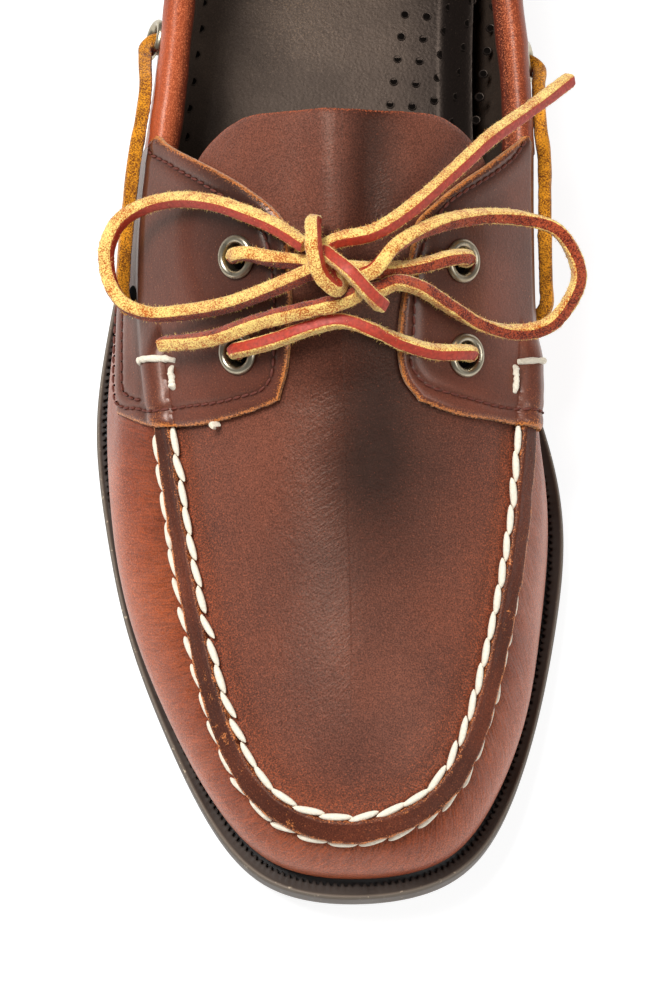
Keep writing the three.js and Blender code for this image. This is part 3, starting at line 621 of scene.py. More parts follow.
def buildSole():
    # a closed profile carried round the outline, with a toothed channel in the rim and channels below
    place = np.linspace(0, around, soleLook["steps"], endpoint=False)
    edge, out, side = edgeAt(place)
    rim, zero = side[:, 2], 0 * side[:, 2]
    spine = loopValue(spineLoop, place)[:, :2]
    step = np.linalg.norm(np.roll(edge, -1, 0) - edge, axis=1)
    run = (np.cumsum(step) - step) / (step.sum() - step[-1])
    teeth = np.round((step.sum() - step[-1]) / soleLook["teethPitch"])
    tooth = soleLook["teethDepth"] * smoothRise(np.cos(2 * np.pi * run * teeth), -0.5, 0.5)
    layers = []
    inner = edge - out * (rim + 1.5)[:, None]
    for share in (0.0, 0.5, 0.9):
        xy = spine + (inner - spine) * share
        # the sole's top under the upper is in full painted shade
        layers.append((xy, soleTopAt(xy[:, 1]) - 0.3, zero, zero + 1))
    low, high = soleBottomAt(edge[:, 1]), soleTopAt(edge[:, 1])
    for inset, height, scuffAndHighlight, shade in soleRings(rim, low, high, tooth):
        layers.append((edge - out * inset[:, None], height, zero + scuffAndHighlight, zero + shade))
    for inset, height in ((0.4, 2.4), (1.2, 0.9), (2.3, 0.15), (2.9, 0.0)):
        xy = edge - out * inset
        layers.append((xy, soleBottomAt(xy[:, 1]) + height, zero + 0.4, zero))
    tread = edge - out * 2.9
    for share in np.linspace(0.985, 0, 34):
        xy = spine + (tread - spine) * share
        wave = soleLook["wave"] * np.cos(2 * np.pi * xy[:, 0] / soleLook["waveLength"])
        away = np.abs(xy[:, 1] - np.array(soleLook["channelsAt"])[:, None] - wave)
        depth = 2 * smoothRise(1.5 - away, 0.2, 0.8).max(0)
        # painted shade in the tread channels, darker where they are deeper
        layers.append((xy, soleBottomAt(xy[:, 1]) + depth, zero + 0.2, depth / 2.5))
    grid = np.array([np.column_stack(layer) for layer in layers])
    grid = np.concatenate([grid, grid[:, :1]], 1)
    masks = {"wearAndHighlight": grid[..., 3], "burnishAndShade": grid[..., 4]}
    sole = addPiece("rubberSole", grid[..., :3], gridQuads(*grid.shape[:2]), [rubberMaterial()],
                    masks=masks, sharp=50)
    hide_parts("outsole")


buildSole()
print("stage: sole built")

collarLook = {"height": 8.0, "inside": 3.2, "outside": 1.9, "frontRow": 8.5, "steps": 460, "sides": 28}
wallLook = {"thickness": 2.0, "pleat": 0.2, "pleatPitch": 6.2, "pleatReach": 6.0, "tuck": 0.45,
            "frontEnds": (5.3, 5.9), "collarStarts": (8.45, 8.75), "underCollar": 1.5, "steps": (721, 50),
            "footShade": 0.105, "seamShade": 0.75, "heelShade": 0.35, "sideShade": 0.22, "rubbed": 0.5}
eyeletHole = {"side": 3.3, "stay": 3.4}  # radius cut in the leather
sideEyelets = {"inner_side": (9.55, 0.68), "outer_side": (-9.7, 0.68)}
stayEyelets = {"inner_front": (6.17, 1.33), "inner_back": (7.1, 1.345), "outer_front": (-6.17, 1.415),
               "outer_back": (-7.1, 1.44)}

# soft troughs (negative) and ridges of the wall: place, t, width in rows, width in t, height in mm
wallFolds = [
    (-6.6, 0.45, 0.9, 0.16, -0.5), (-5.6, 0.62, 0.8, 0.12, 0.4), (-7.9, 0.5, 0.8, 0.2, 0.5),
    (6.4, 0.5, 0.9, 0.16, -0.5), (5.4, 0.66, 0.8, 0.13, 0.4), (-3.4, 0.55, 0.6, 0.14, -0.25),
    (3.2, 0.6, 0.7, 0.15, -0.25), (-12.2, 0.5, 0.8, 0.3, 0.5), (12.1, 0.5, 0.8, 0.3, 0.5),
    (-10.8, 0.6, 0.5, 0.25, -0.5), (10.9, 0.6, 0.5, 0.25, -0.5), (0.4, 0.75, 0.8, 0.12, 0.25),
]

# troughs and ridges of the plug and tongue: x, y, half length, half width, turn in degrees, height in mm
topFolds = [
    (12, -67, 20, 9, 80, -1.1), (-9, -68, 16, 8, 95, 0.7), (29, -60, 12, 6, 75, 0.5),
    (1, -8, 20, 4.5, 92, 1.9), (9, -10, 20, 4.5, 86, -1.9), (19, -12, 16, 6, 84, 1.0),
    (-18, -8, 14, 7, 100, 0.3), (3, -110, 26, 12, 10, 0.5), (-14, -92, 20, 6, 60, -0.25),
    (24, -90, 18, 6, 115, -0.25), (2, -50, 26, 5, 2, -0.5), (2, -38, 24, 5, -4, 0.4),
]


def wallFoldAt(place, t):
    # sum of the wall's bell-shaped folds
    total = 0 * t
    for middle, height, width, tall, size in wallFolds:
        away = (place - middle + lastRow) % around - lastRow
        total = total + size * hump(away, 0, width) * hump(t, height, tall)
    return total


def topFoldAt(x, y):
    # sum of the top's bell-shaped folds, each turned in plan
    total = 0 * x
    for middleX, middleY, long, wide, turn, size in topFolds:
        c, s = math.cos(math.radians(turn)), math.sin(math.radians(turn))
        u = (x - middleX) * c + (y - middleY) * s
        v = -(x - middleX) * s + (y - middleY) * c
        total = total + size * hump(u, 0, long) * hump(v, 0, wide)
    return total


def holeKeep(points, centres, radius):
    # cells whose middle is further than the radius from every centre
    middle = (points[:-1, :-1] + points[1:, :-1] + points[1:, 1:] + points[:-1, 1:]) / 4
    keep = np.ones(middle.shape[:2], bool)
    for centre in centres:
        keep &= np.linalg.norm(middle - centre, axis=-1) > radius
    return keep


def buildWall():
    # the side of the upper from the sole to the seam, dropping below the collar roll behind
    steps, rings = wallLook["steps"]
    place = np.linspace(0, around, steps)
    row = rowOf(place)[:, None]
    lowTop = tFromSeam(place, wallLook["underCollar"] - collarLook["height"])[:, None]
    t = (1 + (lowTop - 1) * smoothRise(row, *wallLook["collarStarts"])) * np.linspace(0, 1, rings)
    grid = np.broadcast_to(place[:, None], t.shape)
    run = runAlong(seamAt(place))[:, None]
    below = (1 - t) * np.linalg.norm(seamAt(grid) - surfaceAt(grid, t * 0), axis=-1)
    front = 1 - smoothRise(row, *wallLook["frontEnds"])
    pleat = wallLook["pleat"] * front * np.cos(2 * np.pi * run / wallLook["pleatPitch"])
    pleat = pleat * np.exp(-below / wallLook["pleatReach"]) * smoothRise(t, 0.1, 0.4)
    lift = pleat - wallLook["tuck"] * hump(below, 1.0, 1.8) * front + wallFoldAt(grid, t)
    outer = liftedAt(grid, t, lift)
    inner = liftedAt(grid, t, lift * 0.5 - wallLook["thickness"])
    keep = holeKeep(outer, [surfaceAt(*spot) for spot in sideEyelets.values()], eyeletHole["side"])
    # painted shade: darker at the foot of the wall, along the seam at the front, low towards the heel and
    # further back on both sides
    dark = wallLook["footShade"] * smoothRise(t, 0.14, 0.0)
    dark = dark + wallLook["seamShade"] * np.exp(-below / 2.5) * front
    dark = dark + wallLook["heelShade"] * smoothRise(row, 7.0, 9.0) * (1 - t)
    burnishAndShade = np.clip(dark + wallLook["sideShade"] * smoothRise(row, 4.6, 6.4), 0, 1)
    wearAndHighlight = np.clip(wallLook["rubbed"] * hump(t, 0.45, 0.22) * front, 0, 1)
    uv = np.stack([np.broadcast_to(run, t.shape), below], -1) * mm
    wall = addSheet("upperWall", outer, inner, [leathers["upper"], leathers["lining"], rawEdge],
                    burnishAndShade, wearAndHighlight, keep, uv)
    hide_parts("upper")


def blend(t, start, end, first, last):
    # first at the start, last at the end, straight between and beyond
    return ((end - t) * first + (t - start) * last) / (end - start)


def smoothLine(points, count):
    # centripetal Catmull-Rom curve through the points, evenly spaced along its length
    points = np.asarray(points, float)
    padded = np.vstack([2 * points[0] - points[1], points, 2 * points[-1] - points[-2]])
    knots = np.concatenate([[0], np.cumsum(np.linalg.norm(np.diff(padded, axis=0), axis=1) ** 0.5)])
    pieces = []
    for i in range(len(points) - 1):
        (p0, p1, p2, p3), (k0, k1, k2, k3) = padded[i : i + 4], knots[i : i + 4]
        t = np.linspace(k1, k2, 60)[:, None]
        middle = blend(t, k1, k2, p1, p2)
        before = blend(t, k0, k2, blend(t, k0, k1, p0, p1), middle)
        after = blend(t, k1, k3, middle, blend(t, k2, k3, p2, p3))
        pieces.append(blend(t, k1, k2, before, after)[:-1])
    line = np.concatenate(pieces + [points[-1:]])
    run = runAlong(line)
    wanted = np.linspace(0, run[-1], count)
    return np.column_stack([np.interp(wanted, run, column) for column in line.T])


def softly(value, table):
    # straight lines between the table's points, rounded by averaging over nearby values
    near = np.linspace(-1, 1, 9)[:, None] * (table[-1, 0] - table[0, 0]) * 0.025
    return np.interp(np.ravel(value)[None] + near, *table.T).mean(0).reshape(np.shape(value))


def nearest(grid, line):
    # distance from every point of a grid to the nearest point of a line
    return np.array([np.linalg.norm(row[:, None] - line[None], axis=-1).min(1) for row in grid])


def rowAtY(y, t, side):
    # row whose surface point at t lies at y: interpolated along a fine list of rows
    rows = np.linspace(5, 10, 400)
    return np.array([np.interp(one, surfaceAt(side * rows, height + 0 * rows)[:, 1], rows)
                     for one, height in zip(y, t)])


# how far back the tongue reaches (y) at each t from its side edge to the spine
tongueEdge = np.array([[1.1, -4], [1.15, 0.8], [1.19, 4.0], [1.24, 6.2], [1.31, 8.0], [1.4, 9.0],
                       [1.48, 8.8], [1.58, 8.0], [1.73, 7.2], [2.0, 6.5]])
tongueLook = {"sideEdge": 1.12, "thickness": 2.2, "plugEnd": 5.667, "narrows": (5.6, 6.1),
              "plugSteps": 150, "tongueSteps": 80, "halfSteps": 64, "groove": 0.35, "edgeDrop": 0.5,
              "rowLength": 20}

# painted shade in the plug's hollows: strength, middle x and half width, middle y and half length
hollowShades = [(0.95, 11, 15, -62, 21), (0.35, 2, 20, -92, 30)]


def buildPlug():
    # one sheet from the toe seam to the tongue's back edge; columns run from the inner seam over the spine
    half = np.linspace(0, 1, tongueLook["halfSteps"])
    tEnd = tongueLook["sideEdge"] + (2 - tongueLook["sideEdge"]) * half
    plugEnd = tongueLook["plugEnd"]
    plugRows = np.linspace(0, plugEnd, tongueLook["plugSteps"])[:, None] + 0 * half
    tongueShare = np.linspace(0, 1, tongueLook["tongueSteps"])[1:, None]
    sides = []
    for side in (1, -1):
        back = rowAtY(softly(tEnd, tongueEdge), tEnd, side)
        rows = np.concatenate([plugRows, plugEnd + tongueShare * (back - plugEnd)])
        start = 1 + (tongueLook["sideEdge"] - 1) * smoothRise(rows, *tongueLook["narrows"])
        sides.append(np.stack([side * rows, start + (2 - start) * half, back + 0 * rows]))
    place, t, endRow = np.concatenate([sides[0], sides[1][:, :, -2::-1]], 2)[:, ::-1]
    base = surfaceAt(place, t)
    x, y = base[..., 0], base[..., 1]
    rows = np.abs(place)
    fromSeam = np.linalg.norm(base - seamAt(place), axis=-1)
    front = 1 - smoothRise(rows, 5.4, 5.8)
    rear = smoothRise(rows, 6, 7)
    toBack = np.abs(endRow - rows) * tongueLook["rowLength"]
    lift = topFoldAt(x, y) * smoothRise(fromSeam, 3, 12)
    lift = lift - tongueLook["groove"] * hump(fromSeam, 5, 3) * front
    lift = lift - tongueLook["edgeDrop"] * np.exp(-toBack / 0.6) * rear
    outer, inner = liftedAt(place, t, lift), liftedAt(place, t, lift - tongueLook["thickness"])
    # painted shade over the tongue, less towards its back end, and in the tongue's fold near x 10
    dark = 0.42 * smoothRise(rows, 5.2, 6.0) * (1 - 0.75 * smoothRise(y, -26, -6))
    dark = dark + 0.75 * hump(x, 10, 6) * smoothRise(y, -30, -8)
    for strength, middleX, wide, middleY, long in hollowShades:
        dark = dark + strength * hump(x, middleX, wide) * hump(y, middleY, long)
    burnishAndShade = np.clip(dark, 0, 1)
    warm = np.clip(0.55 * np.exp(-fromSeam / 9) * front + 0.5 * np.exp(-toBack / 0.5) * rear, 0, 1)
    run = runAlong(seamAt(place[::-1, 0]))[::-1, None]
    uv = np.stack([np.sign(place) * run, fromSeam], -1) * mm
    plug = addSheet("plugAndTongue", outer, inner, [leathers["plug"], leathers["lining"], rawEdge],
                    burnishAndShade, warm, uv=uv, weld=0.01)
    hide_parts("tongue")


buildWall()
buildPlug()
print("stage: upper and tongue built")

ridgeLook = {"width": 4.6, "height": 2.3, "endRow": 5.75, "ragged": 0.14, "fray": 0.07, "steps": 900}


def ridgeProfile():
    # distance from the seam line, height above the last, and wear, over the strip from outside to inside
    half, height = ridgeLook["width"] / 2, ridgeLook["height"]
    return [(-half, -0.4, 0.2), (-half - 0.05, height * 0.4, 0.9), (-half, height - 0.55, 1.0),
            (-half + 0.35, height - 0.1, 0.8), (-half + 0.9, height, 0.15),
            (-half * 0.4, height - 0.12, 0.0), (half * 0.1, height - 0.18, 0.05),
            (half * 0.55, height - 0.1, 0.0), (half - 0.8, height, 0.05),
            (half - 0.25, height - 0.15, 0.25), (half, height - 0.6, 0.4),
            (half + 0.05, height * 0.4, 0.3), (half, -0.4, 0.1)]


def buildRidge():
    # a flat-topped strip along the seam line, with ragged cut edges
    count = ridgeLook["steps"]
    place = np.linspace(-ridgeLook["endRow"], ridgeLook["endRow"], count)
    outerWobble = noiseAlong(count, 90, ridgeLook["ragged"])
    innerWobble = noiseAlong(count, 120, ridgeLook["ragged"] * 0.7)
    rise = noiseAlong(count, 60, 0.12)
    rings, wearAndHighlight = [], []
    for distance, up, worn in ridgeProfile():
        fray = random.normal(0, ridgeLook["fray"], count) * (worn > 0.6)
        wobble = (outerWobble if distance < 0 else innerWobble) * (abs(distance) > 1.5)
        t = tFromSeam(place, distance + wobble + fray)
        rings.append(liftedAt(place, t, up + rise * (up > 1) + fray))
        streak = np.maximum(noiseAlong(count, 260, 0.22) + noiseAlong(count, 24, 0.2) - 0.3, 0)
        wearAndHighlight.append(np.clip(worn * (0.75 + noiseAlong(count, 150, 0.25)) + streak, 0, 1))
    section = np.stack(rings, 1)[:, ::-1]
    points, quads = tube(np.mean(section[[0, -1]], axis=1), section)
    burnishAndShade = np.clip(0.35 + 0.3 * np.sin(points[:, 0] / 7) * np.cos(points[:, 1] / 9), 0, 1)
    masks = {"wearAndHighlight": ringValues(np.stack(wearAndHighlight, 1)[:, ::-1]), "burnishAndShade": burnishAndShade}
    ridge = addPiece("seamStrip", points, quads, [leathers["ridge"]], masks=masks, sharp=60)
    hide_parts("seam_ridge")


buildRidge()

rowLength = 19.0  # millimetres to a row, along a stay
tLength = 40.0  # millimetres to a whole t, across a stay
lineSteps = 300  # points along a stitch line
stayLook = {"backRow": 8.6, "cornerRow": 5.62, "sideDrop": {"inner": 12.9, "outer": 17.5}, "lift": 2.1,
            "thick": 1.9, "swell": 2.0, "swellWidth": 3.4, "swellEnds": (6.3, 6.8), "groove": 0.3,
            "puff": 0.12, "edgeDrop": 0.55, "wallDrop": {"inner": 1.2, "outer": 0.5}, "steps": (210, 150)}
sideOf = {"inner": 1, "outer": -1}

# outline of each stay: the front edge as height t and row, the rear edge as row and height t
stayOutlines = {
    "outer": {
        "front": [(0.6, 5.95), (0.93, 5.69), (1.02, 5.65), (1.11, 5.59), (1.24, 5.55), (1.37, 5.55),
                  (1.48, 5.57), (1.59, 5.62), (1.75, 5.62)],
        "rear": [(5.62, 1.59), (5.77, 1.625), (5.91, 1.653), (6.13, 1.675), (6.6, 1.70), (7.29, 1.69),
                 (7.38, 1.672), (7.52, 1.62), (7.67, 1.54), (7.86, 1.436), (8.07, 1.308), (8.26, 1.189),
                 (8.44, 1.076), (8.6, 1.0)]},
    "inner": {
        "front": [(0.6, 5.85), (0.9, 5.65), (1.06, 5.63), (1.19, 5.60), (1.3, 5.57), (1.41, 5.57),
                  (1.54, 5.62), (1.75, 5.62)],
        "rear": [(5.62, 1.54), (5.72, 1.615), (5.85, 1.655), (6.01, 1.675), (6.22, 1.675), (6.49, 1.66),
                 (6.67, 1.64), (7.0, 1.61), (7.42, 1.571), (7.57, 1.496), (7.74, 1.413), (7.92, 1.323),
                 (8.18, 1.189), (8.45, 1.069), (8.6, 1.0)]},
}

# machine stitch lines of each stay, as row and height t
stayLines = {
    "inner": [
        [(6.84, 0.836), (6.52, 0.822), (6.26, 0.807), (6.17, 0.822), (6.0, 0.911)],
        [(5.92, 0.80), (5.83, 0.92), (5.81, 1.0), (5.75, 1.159), (5.75, 1.278), (5.76, 1.413),
         (5.79, 1.518), (5.87, 1.578), (6.0, 1.615), (6.32, 1.601), (6.61, 1.593), (7.2, 1.54),
         (7.61, 1.428), (7.78, 1.346), (7.95, 1.248), (8.14, 1.151), (8.32, 1.076), (8.54, 1.016)]],
    "outer": [
        [(7.3, 0.57), (6.9, 0.56), (6.4, 0.56), (6.08, 0.60), (5.96, 0.70), (5.91, 0.82), (5.84, 0.93),
         (5.81, 1.04), (5.77, 1.16), (5.73, 1.28), (5.73, 1.41), (5.75, 1.51), (5.86, 1.57), (6.15, 1.6),
         (6.6, 1.615), (7.1, 1.6), (7.4, 1.55), (7.55, 1.48), (7.69, 1.406), (7.84, 1.316), (8.0, 1.226),
         (8.13, 1.151), (8.27, 1.076), (8.4, 1.0), (8.48, 0.95)],
        [(7.3, 0.71), (6.9, 0.70), (6.4, 0.695), (6.15, 0.70), (6.05, 0.76), (5.98, 0.86)]],
}


def seamDistance(place, t):
    # signed distance from the seam line in millimetres: outside negative
    step = np.where(t < 1, -1.0, 1.0)
    return step * (t - 1) / (tFromSeam(place, step) - 1)


def stayLift(name, place, t):
    # height of the stay's outer face above the last: it swells over the moccasin ridge that runs under it
    distance = seamDistance(place, t)
    wide = stayLook["swellWidth"] * np.where(distance < 0, 1.0, 1.25)
    roll = stayLook["swell"] * np.clip(1 - (distance / wide) ** 2, 0, 1) ** 0.6
    roll = roll * (1 - smoothRise(rowOf(place), *stayLook["swellEnds"]))
    below = smoothRise(-distance, 2.5, 5)
    onWall = (wallFoldAt(place, t) - stayLook["wallDrop"][name]) * below
    x, y = np.moveaxis(surfaceAt(place, t)[..., :2], -1, 0)
    return stayLook["lift"] + roll + onWall + 0.35 * topFoldAt(x, y) * (1 - below)


def stayPlaces(name, line, count):
    # a line given as row and t, as places and t on the stay, evenly spaced in millimetres
    flat = smoothLine(np.array(line) * [rowLength, tLength], count) / [rowLength, tLength]
    return flat[:, 0] * sideOf[name], flat[:, 1]


def buildStay(name):
    # a sheet over the tongue and the wall, thinned at its cut edges and grooved along its stitch lines
    side, corner = sideOf[name], stayLook["cornerRow"]
    steps, columns = stayLook["steps"]
    front, rear = (np.array(stayOutlines[name][key]) for key in ("front", "rear"))
    nominal = np.linspace(corner, stayLook["backRow"], steps)[:, None]
    low = tFromSeam(side * nominal, -stayLook["sideDrop"][name])
    share = np.linspace(0, 1, columns)[None]
    t = low + (softly(nominal, rear) - low) * share
    grid = side * (nominal + (softly(t, front) - corner) * (1 - smoothRise(nominal, corner, 6.25)))
    base = surfaceAt(grid, t)
    border = np.concatenate([base[0], base[-1], base[:, 0], base[:, -1]])
    toEdge = nearest(base, border)
    ragged = random.normal(0, 0.1, toEdge.shape) * (toEdge < 0.5)
    grid = grid + side * ragged * 0.05 * (share < 0.99)
    base = surfaceAt(grid, t)
    lines = [surfaceAt(*stayPlaces(name, line, lineSteps)) for line in stayLines[name]]
    toStitch = nearest(base, np.concatenate(lines))
    lift = stayLift(name, grid, t) - stayLook["edgeDrop"] * np.exp(-toEdge / 0.45) + ragged * 0.5
    lift = lift - stayLook["groove"] * hump(toStitch, 0, 0.8)
    lift = lift + stayLook["puff"] * hump(toStitch, 2.4, 1.6) * (toEdge > 0.8)
    normal = normalAt(grid, t)
    outer = base + normal * lift[..., None]
    inner = base + normal * np.maximum(lift - stayLook["thick"], gap)[..., None]
    centres = [liftedAt(*spot, stayLook["lift"]) for key, spot in stayEyelets.items() if name in key]
    keep = holeKeep(outer, centres, eyeletHole["stay"])
    distance, row = seamDistance(grid, t), np.abs(grid)
    overRidge = hump(distance, 0, 3.2) * (1 - smoothRise(row, 5.7, 6.3))
    worn = np.clip(0.85 * np.exp(-toEdge / 0.5) + 0.22 * overRidge, 0, 1)
    # darker higher up, further back and on the outer stay, lighter at the front corner; painted shadow
    # along the outer foot of the swell and painted shade in the stitch grooves
    dark = 0.2 + 0.5 * smoothRise(t, 1.08, 1.45) + 0.25 * smoothRise(row, 6.6, 7.6) - 0.2 * (side > 0)
    dark = np.clip(dark + 0.5 * hump(distance, -4.4, 2.2) + 0.35 * hump(toStitch, 0, 0.75), 0, 1)
    dark = np.clip(dark - 0.3 * (1 - smoothRise(row, 5.75, 6.5)), 0, 1)
    stay = addSheet(name + "Stay", outer[::side], inner[::side],
                    [leathers["stay"], leathers["lining"], rawEdge], dark[::side], worn[::side],
                    keep[::side], weld=0)
    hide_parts("eyestay_" + name)


buildStay("inner")
buildStay("outer")
print("stage: ridge and eyestays built")


def buildCollar():
    # a padded oval carried round the ankle opening, softly wrinkled
    place = np.linspace(collarLook["frontRow"], around - collarLook["frontRow"], collarLook["steps"])
    angle = np.linspace(0, 2 * np.pi, collarLook["sides"], endpoint=False)[::-1]
    outside, inside = collarLook["outside"], collarLook["inside"] + wallLook["thickness"]
    wrinkle = noiseAlong(len(place), 40, 0.10) + noiseAlong(len(place), 110, 0.05)
    down = collarLook["height"] / 2 * (np.cos(angle) - 1) + 0 * place[:, None]
    out = (outside - inside) / 2 + ((outside + inside) / 2 + wrinkle[:, None]) * np.sin(angle)
    grid = np.broadcast_to(place[:, None], down.shape)
    section = liftedAt(grid, tFromSeam(grid, down), out)
    points, quads = tube(np.mean(section[[0, -1]], axis=1), section)
    # painted shade on the roll's face towards the foot opening and along the whole inner side
    towardsFoot = 0.75 * smoothRise(-np.sin(angle), 0.1, 0.6)
    innerSide = 0.5 * smoothRise(np.sin(place / around * 2 * np.pi), -0.3, 0.3)[:, None]
    burnishAndShade = ringValues(np.clip(0.1 + towardsFoot + innerSide, 0, 1))
    wearAndHighlight = ringValues(0.3 * hump(np.cos(angle), 1, 0.4) + 0 * grid)
    collar = addPiece("collarRoll", points, quads, [leathers["collar"]],
                      masks={"burnishAndShade": burnishAndShade, "wearAndHighlight": wearAndHighlight}, sharp=80)
    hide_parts("collar")


insoleLook = {"top": 4.3, "bottom": 0.3, "inset": 2.5, "cup": 8.0, "cupStarts": (0.74, 1.02), "steps": 421}

# perforations: a column near the outer wall and a field of five columns by six rows, in millimetres
perforations = {"outerColumn": [(-29.7, 60), (-30.3, 53.5), (-31.2, 47), (-32, 40.5), (-32.9, 34),
                                (-33.5, 27.5)],
                "first": (18, 59), "rows": 6, "rowStep": (-0.9, -5.6), "columnStep": 5.2,
                "drops": [0.5, 0, 1.5, 0.5, -1], "radius": 0.8}


def buildInsole():
    # flat under the foot, turned up near the walls; the top's points are returned
    place = np.linspace(0, around, insoleLook["steps"])
    edge, out, side = edgeAt(place)
    spine = loopValue(spineLoop, place)[:, None, :2]
    share = np.concatenate([np.linspace(0, 0.7, 20), np.linspace(0.72, 1, 24)])
    rim = edge[:, None] - out[:, None] * (side[:, 2] + insoleLook["inset"])[:, None, None]
    xy = spine + (rim - spine) * share[:, None]
    x, y = xy[..., 0], xy[..., 1]
    cup = insoleLook["cup"] * smoothRise(share, *insoleLook["cupStarts"])
    top = np.dstack([xy, soleTopAt(y) + insoleLook["top"] + cup])
    low = np.dstack([xy, soleTopAt(y) + insoleLook["bottom"]])
    # darker towards the inner side and the toe: painted shade over the lining's own darker tone
    dark = np.clip(0.1 + 0.9 * smoothRise(x, 13, 27) + 0.5 * smoothRise(40 - y, 0, 30), 0, 1)
    # paler over the outer side of the heel seat
    wearAndHighlight = 0.25 * hump(x, -8, 16) * smoothRise(y, 30, 60)
    leather = leathers["lining"]
    insole = addSheet("sockLining", top[:, ::-1], low[:, ::-1], [leather, leather, rawEdge],
                      dark[:, ::-1], wearAndHighlight[:, ::-1], weld=0.01)
    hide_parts("insole")
    return top.reshape(-1, 3)


def copiesAt(points, quads, count):
    # faces of as many copies of a shape, each copy's points after the last one's
    return quads[None] + (np.arange(count) * len(points))[:, None, None]


def buildPerforations(surface):
    # small holes with a soft raised rim and insides painted dark as their shade, at the height of the
    # surface's four nearest points
    spots = list(perforations["outerColumn"])
    for row in range(perforations["rows"]):
        for column, drop in enumerate(perforations["drops"]):
            x, y = (perforations["first"][k] + row * perforations["rowStep"][k] for k in (0, 1))
            spots.append((x + column * perforations["columnStep"], y + drop))
    spots = np.array(spots)
    away = np.linalg.norm(spots[:, None] - surface[None, :, :2], axis=-1)
    four = np.argsort(away, axis=1)[:, :4]
    weight = 1 / (np.take_along_axis(away, four, 1) + 0.01)
    height = (surface[four, 2] * weight).sum(1) / weight.sum(1)
    angle = np.linspace(0, 2 * np.pi, 17)
    sizes = perforations["radius"] * np.array([1.5, 1.2, 1, 0.9, 0])[:, None]
    ups = np.array([-0.15, 0.12, 0.1, 0.03, 0.03])[:, None]
    cup = np.stack([sizes * np.cos(angle), sizes * np.sin(angle), 0 * angle + ups], -1)
    points = np.column_stack([spots, height])[:, None, None] + cup
    faces = copiesAt(cup.reshape(-1, 3), gridQuads(*cup.shape[:2])[:, ::-1], len(spots))
    slots = np.tile(np.repeat([0, 0, 1, 1], 16), len(spots))
    # painted shade: the holes darker towards the inner side, as the insole
    shade = np.broadcast_to(smoothRise(spots[:, 0], 10, 24)[:, None, None] * 0.5 + 0.5, points.shape[:3])
    materials = [leathers["lining"], paintedHoleShade]
    holes = addPiece("perforations", points, faces, materials, slots, {"burnishAndShade": shade})


buildCollar()
buildPerforations(buildInsole())
print("stage: collar and insole built")


def stitchShape(rings=12, sides=10):
    # a plump thread that dives at both ends: unit length along x, unit radius across
    u = np.linspace(-1, 1, rings)
    angle = np.linspace(0, 2 * np.pi, sides, endpoint=False)
    swell = np.clip(1 - np.abs(u) ** 2.6, 0, 1) ** 0.7 * 0.82 + 0.18
    line = np.column_stack([u / 2, 0 * u, -0.3 * np.abs(u) ** 4])
    across, upward = np.array([[0, 1.0, 0]]), np.array([[0, 0, 1.0]])
    return tube(line, ringPoints(line, across, upward, angle[None], swell[:, None]))


stitchPoints, stitchQuads = stitchShape()


def sewStitches(name, middles, along, upward, look):
    # copies one stitch to each middle, turned along the seam and leaning by the slant
    along, upward = unit(along), unit(upward)
    across = unit(np.cross(upward, along))
    count = len(middles)
    lean = look["slant"] + random.normal(0, look["vary"], count)
    c, s = np.cos(lean)[:, None], np.sin(lean)[:, None]
    along, across = along * c + across * s, across * c - along * s
    size = look["length"] * (1 + random.normal(0, look["vary"] * 0.4, count))[:, None]
    thick = look["radius"] * (1 + random.normal(0, look["vary"] * 0.5, count))[:, None]
    points = middles[:, None] + stitchPoints @ np.stack([along * size, across * thick, upward * thick], 1)
    faces = copiesAt(stitchPoints, stitchQuads, count)
    piece = addPiece(name, points, faces, [look["thread"]], weld=0.0005)


def pick(values, index):
    # rows of an array at fractional indexes
    return np.column_stack([np.interp(index, np.arange(len(values)), column) for column in values.T])


def sewAlongLine(name, points, normals, look):
    # stitches evenly spaced along a line of points; roll tips them over sideways
    run = runAlong(points)
    count = int(run[-1] / look["pitch"])
    wanted = (np.arange(count) + look["start"]) * run[-1] / count
    index = np.interp(wanted, run, np.arange(len(points)))
    along = pick(points, index + 2) - pick(points, index - 2)
    upward = pick(normals, index)
    if look["roll"]:
        upward = upward + look["roll"] * unit(np.cross(unit(upward), unit(along)))
    sewStitches(name, pick(points, index), along, upward, look)


handStitch = {"radius": 0.8, "slant": 0.14, "vary": 0.07, "start": 0.5, "steps": 1500,
              "thread": handThread, "slot": "ridge_leather"}
innerStitch = handStitch | {"pitch": 6.0, "length": 6.9, "roll": -0.1, "rows": (-5.62, 5.62)}
outerStitch = handStitch | {"pitch": 6.6, "length": 6.864, "roll": 0.15, "rows": (-5.6, 5.5)}

# where each hand-sewn row runs: distance from the seam line and height at places along the loop
innerPath = {"place": [-6, 6], "distance": [3.1, 3.1], "lift": [1.35, 1.35]}
outerPath = {"place": [-6, 0, 1.5, 6], "distance": [-3.0, -3.0, -2.7, -2.35],
             "lift": [0.8, 0.8, 0.75, 0.55]}


def sewMoccasinSeam():
    # two rows of thick hand stitches, on the plug side and on the wall side of the ridge
    for name, look, path in (("inner", innerStitch, innerPath), ("outer", outerStitch, outerPath)):
        place = np.linspace(*look["rows"], look["steps"])
        distance, lift = (np.interp(place, path["place"], path[key]) for key in ("distance", "lift"))
        t = tFromSeam(place, distance)
        sewAlongLine(name + "HandStitches", liftedAt(place, t, lift), normalAt(place, t), look)


machineStitch = {"pitch": 2.3, "slant": 0.1, "vary": 0.06, "roll": 0, "slot": "stay_leather"}
thread = {"start": 0.5, "up": -0.08, "length": 2.0, "radius": 0.3, "thread": darkThread}
needleHoleShade = {"start": 0.0, "up": -0.36, "length": 0.54, "radius": 0.27, "thread": paintedHoleShade}
machineParts = {"Stitches": machineStitch | thread, "HoleShades": machineStitch | needleHoleShade}


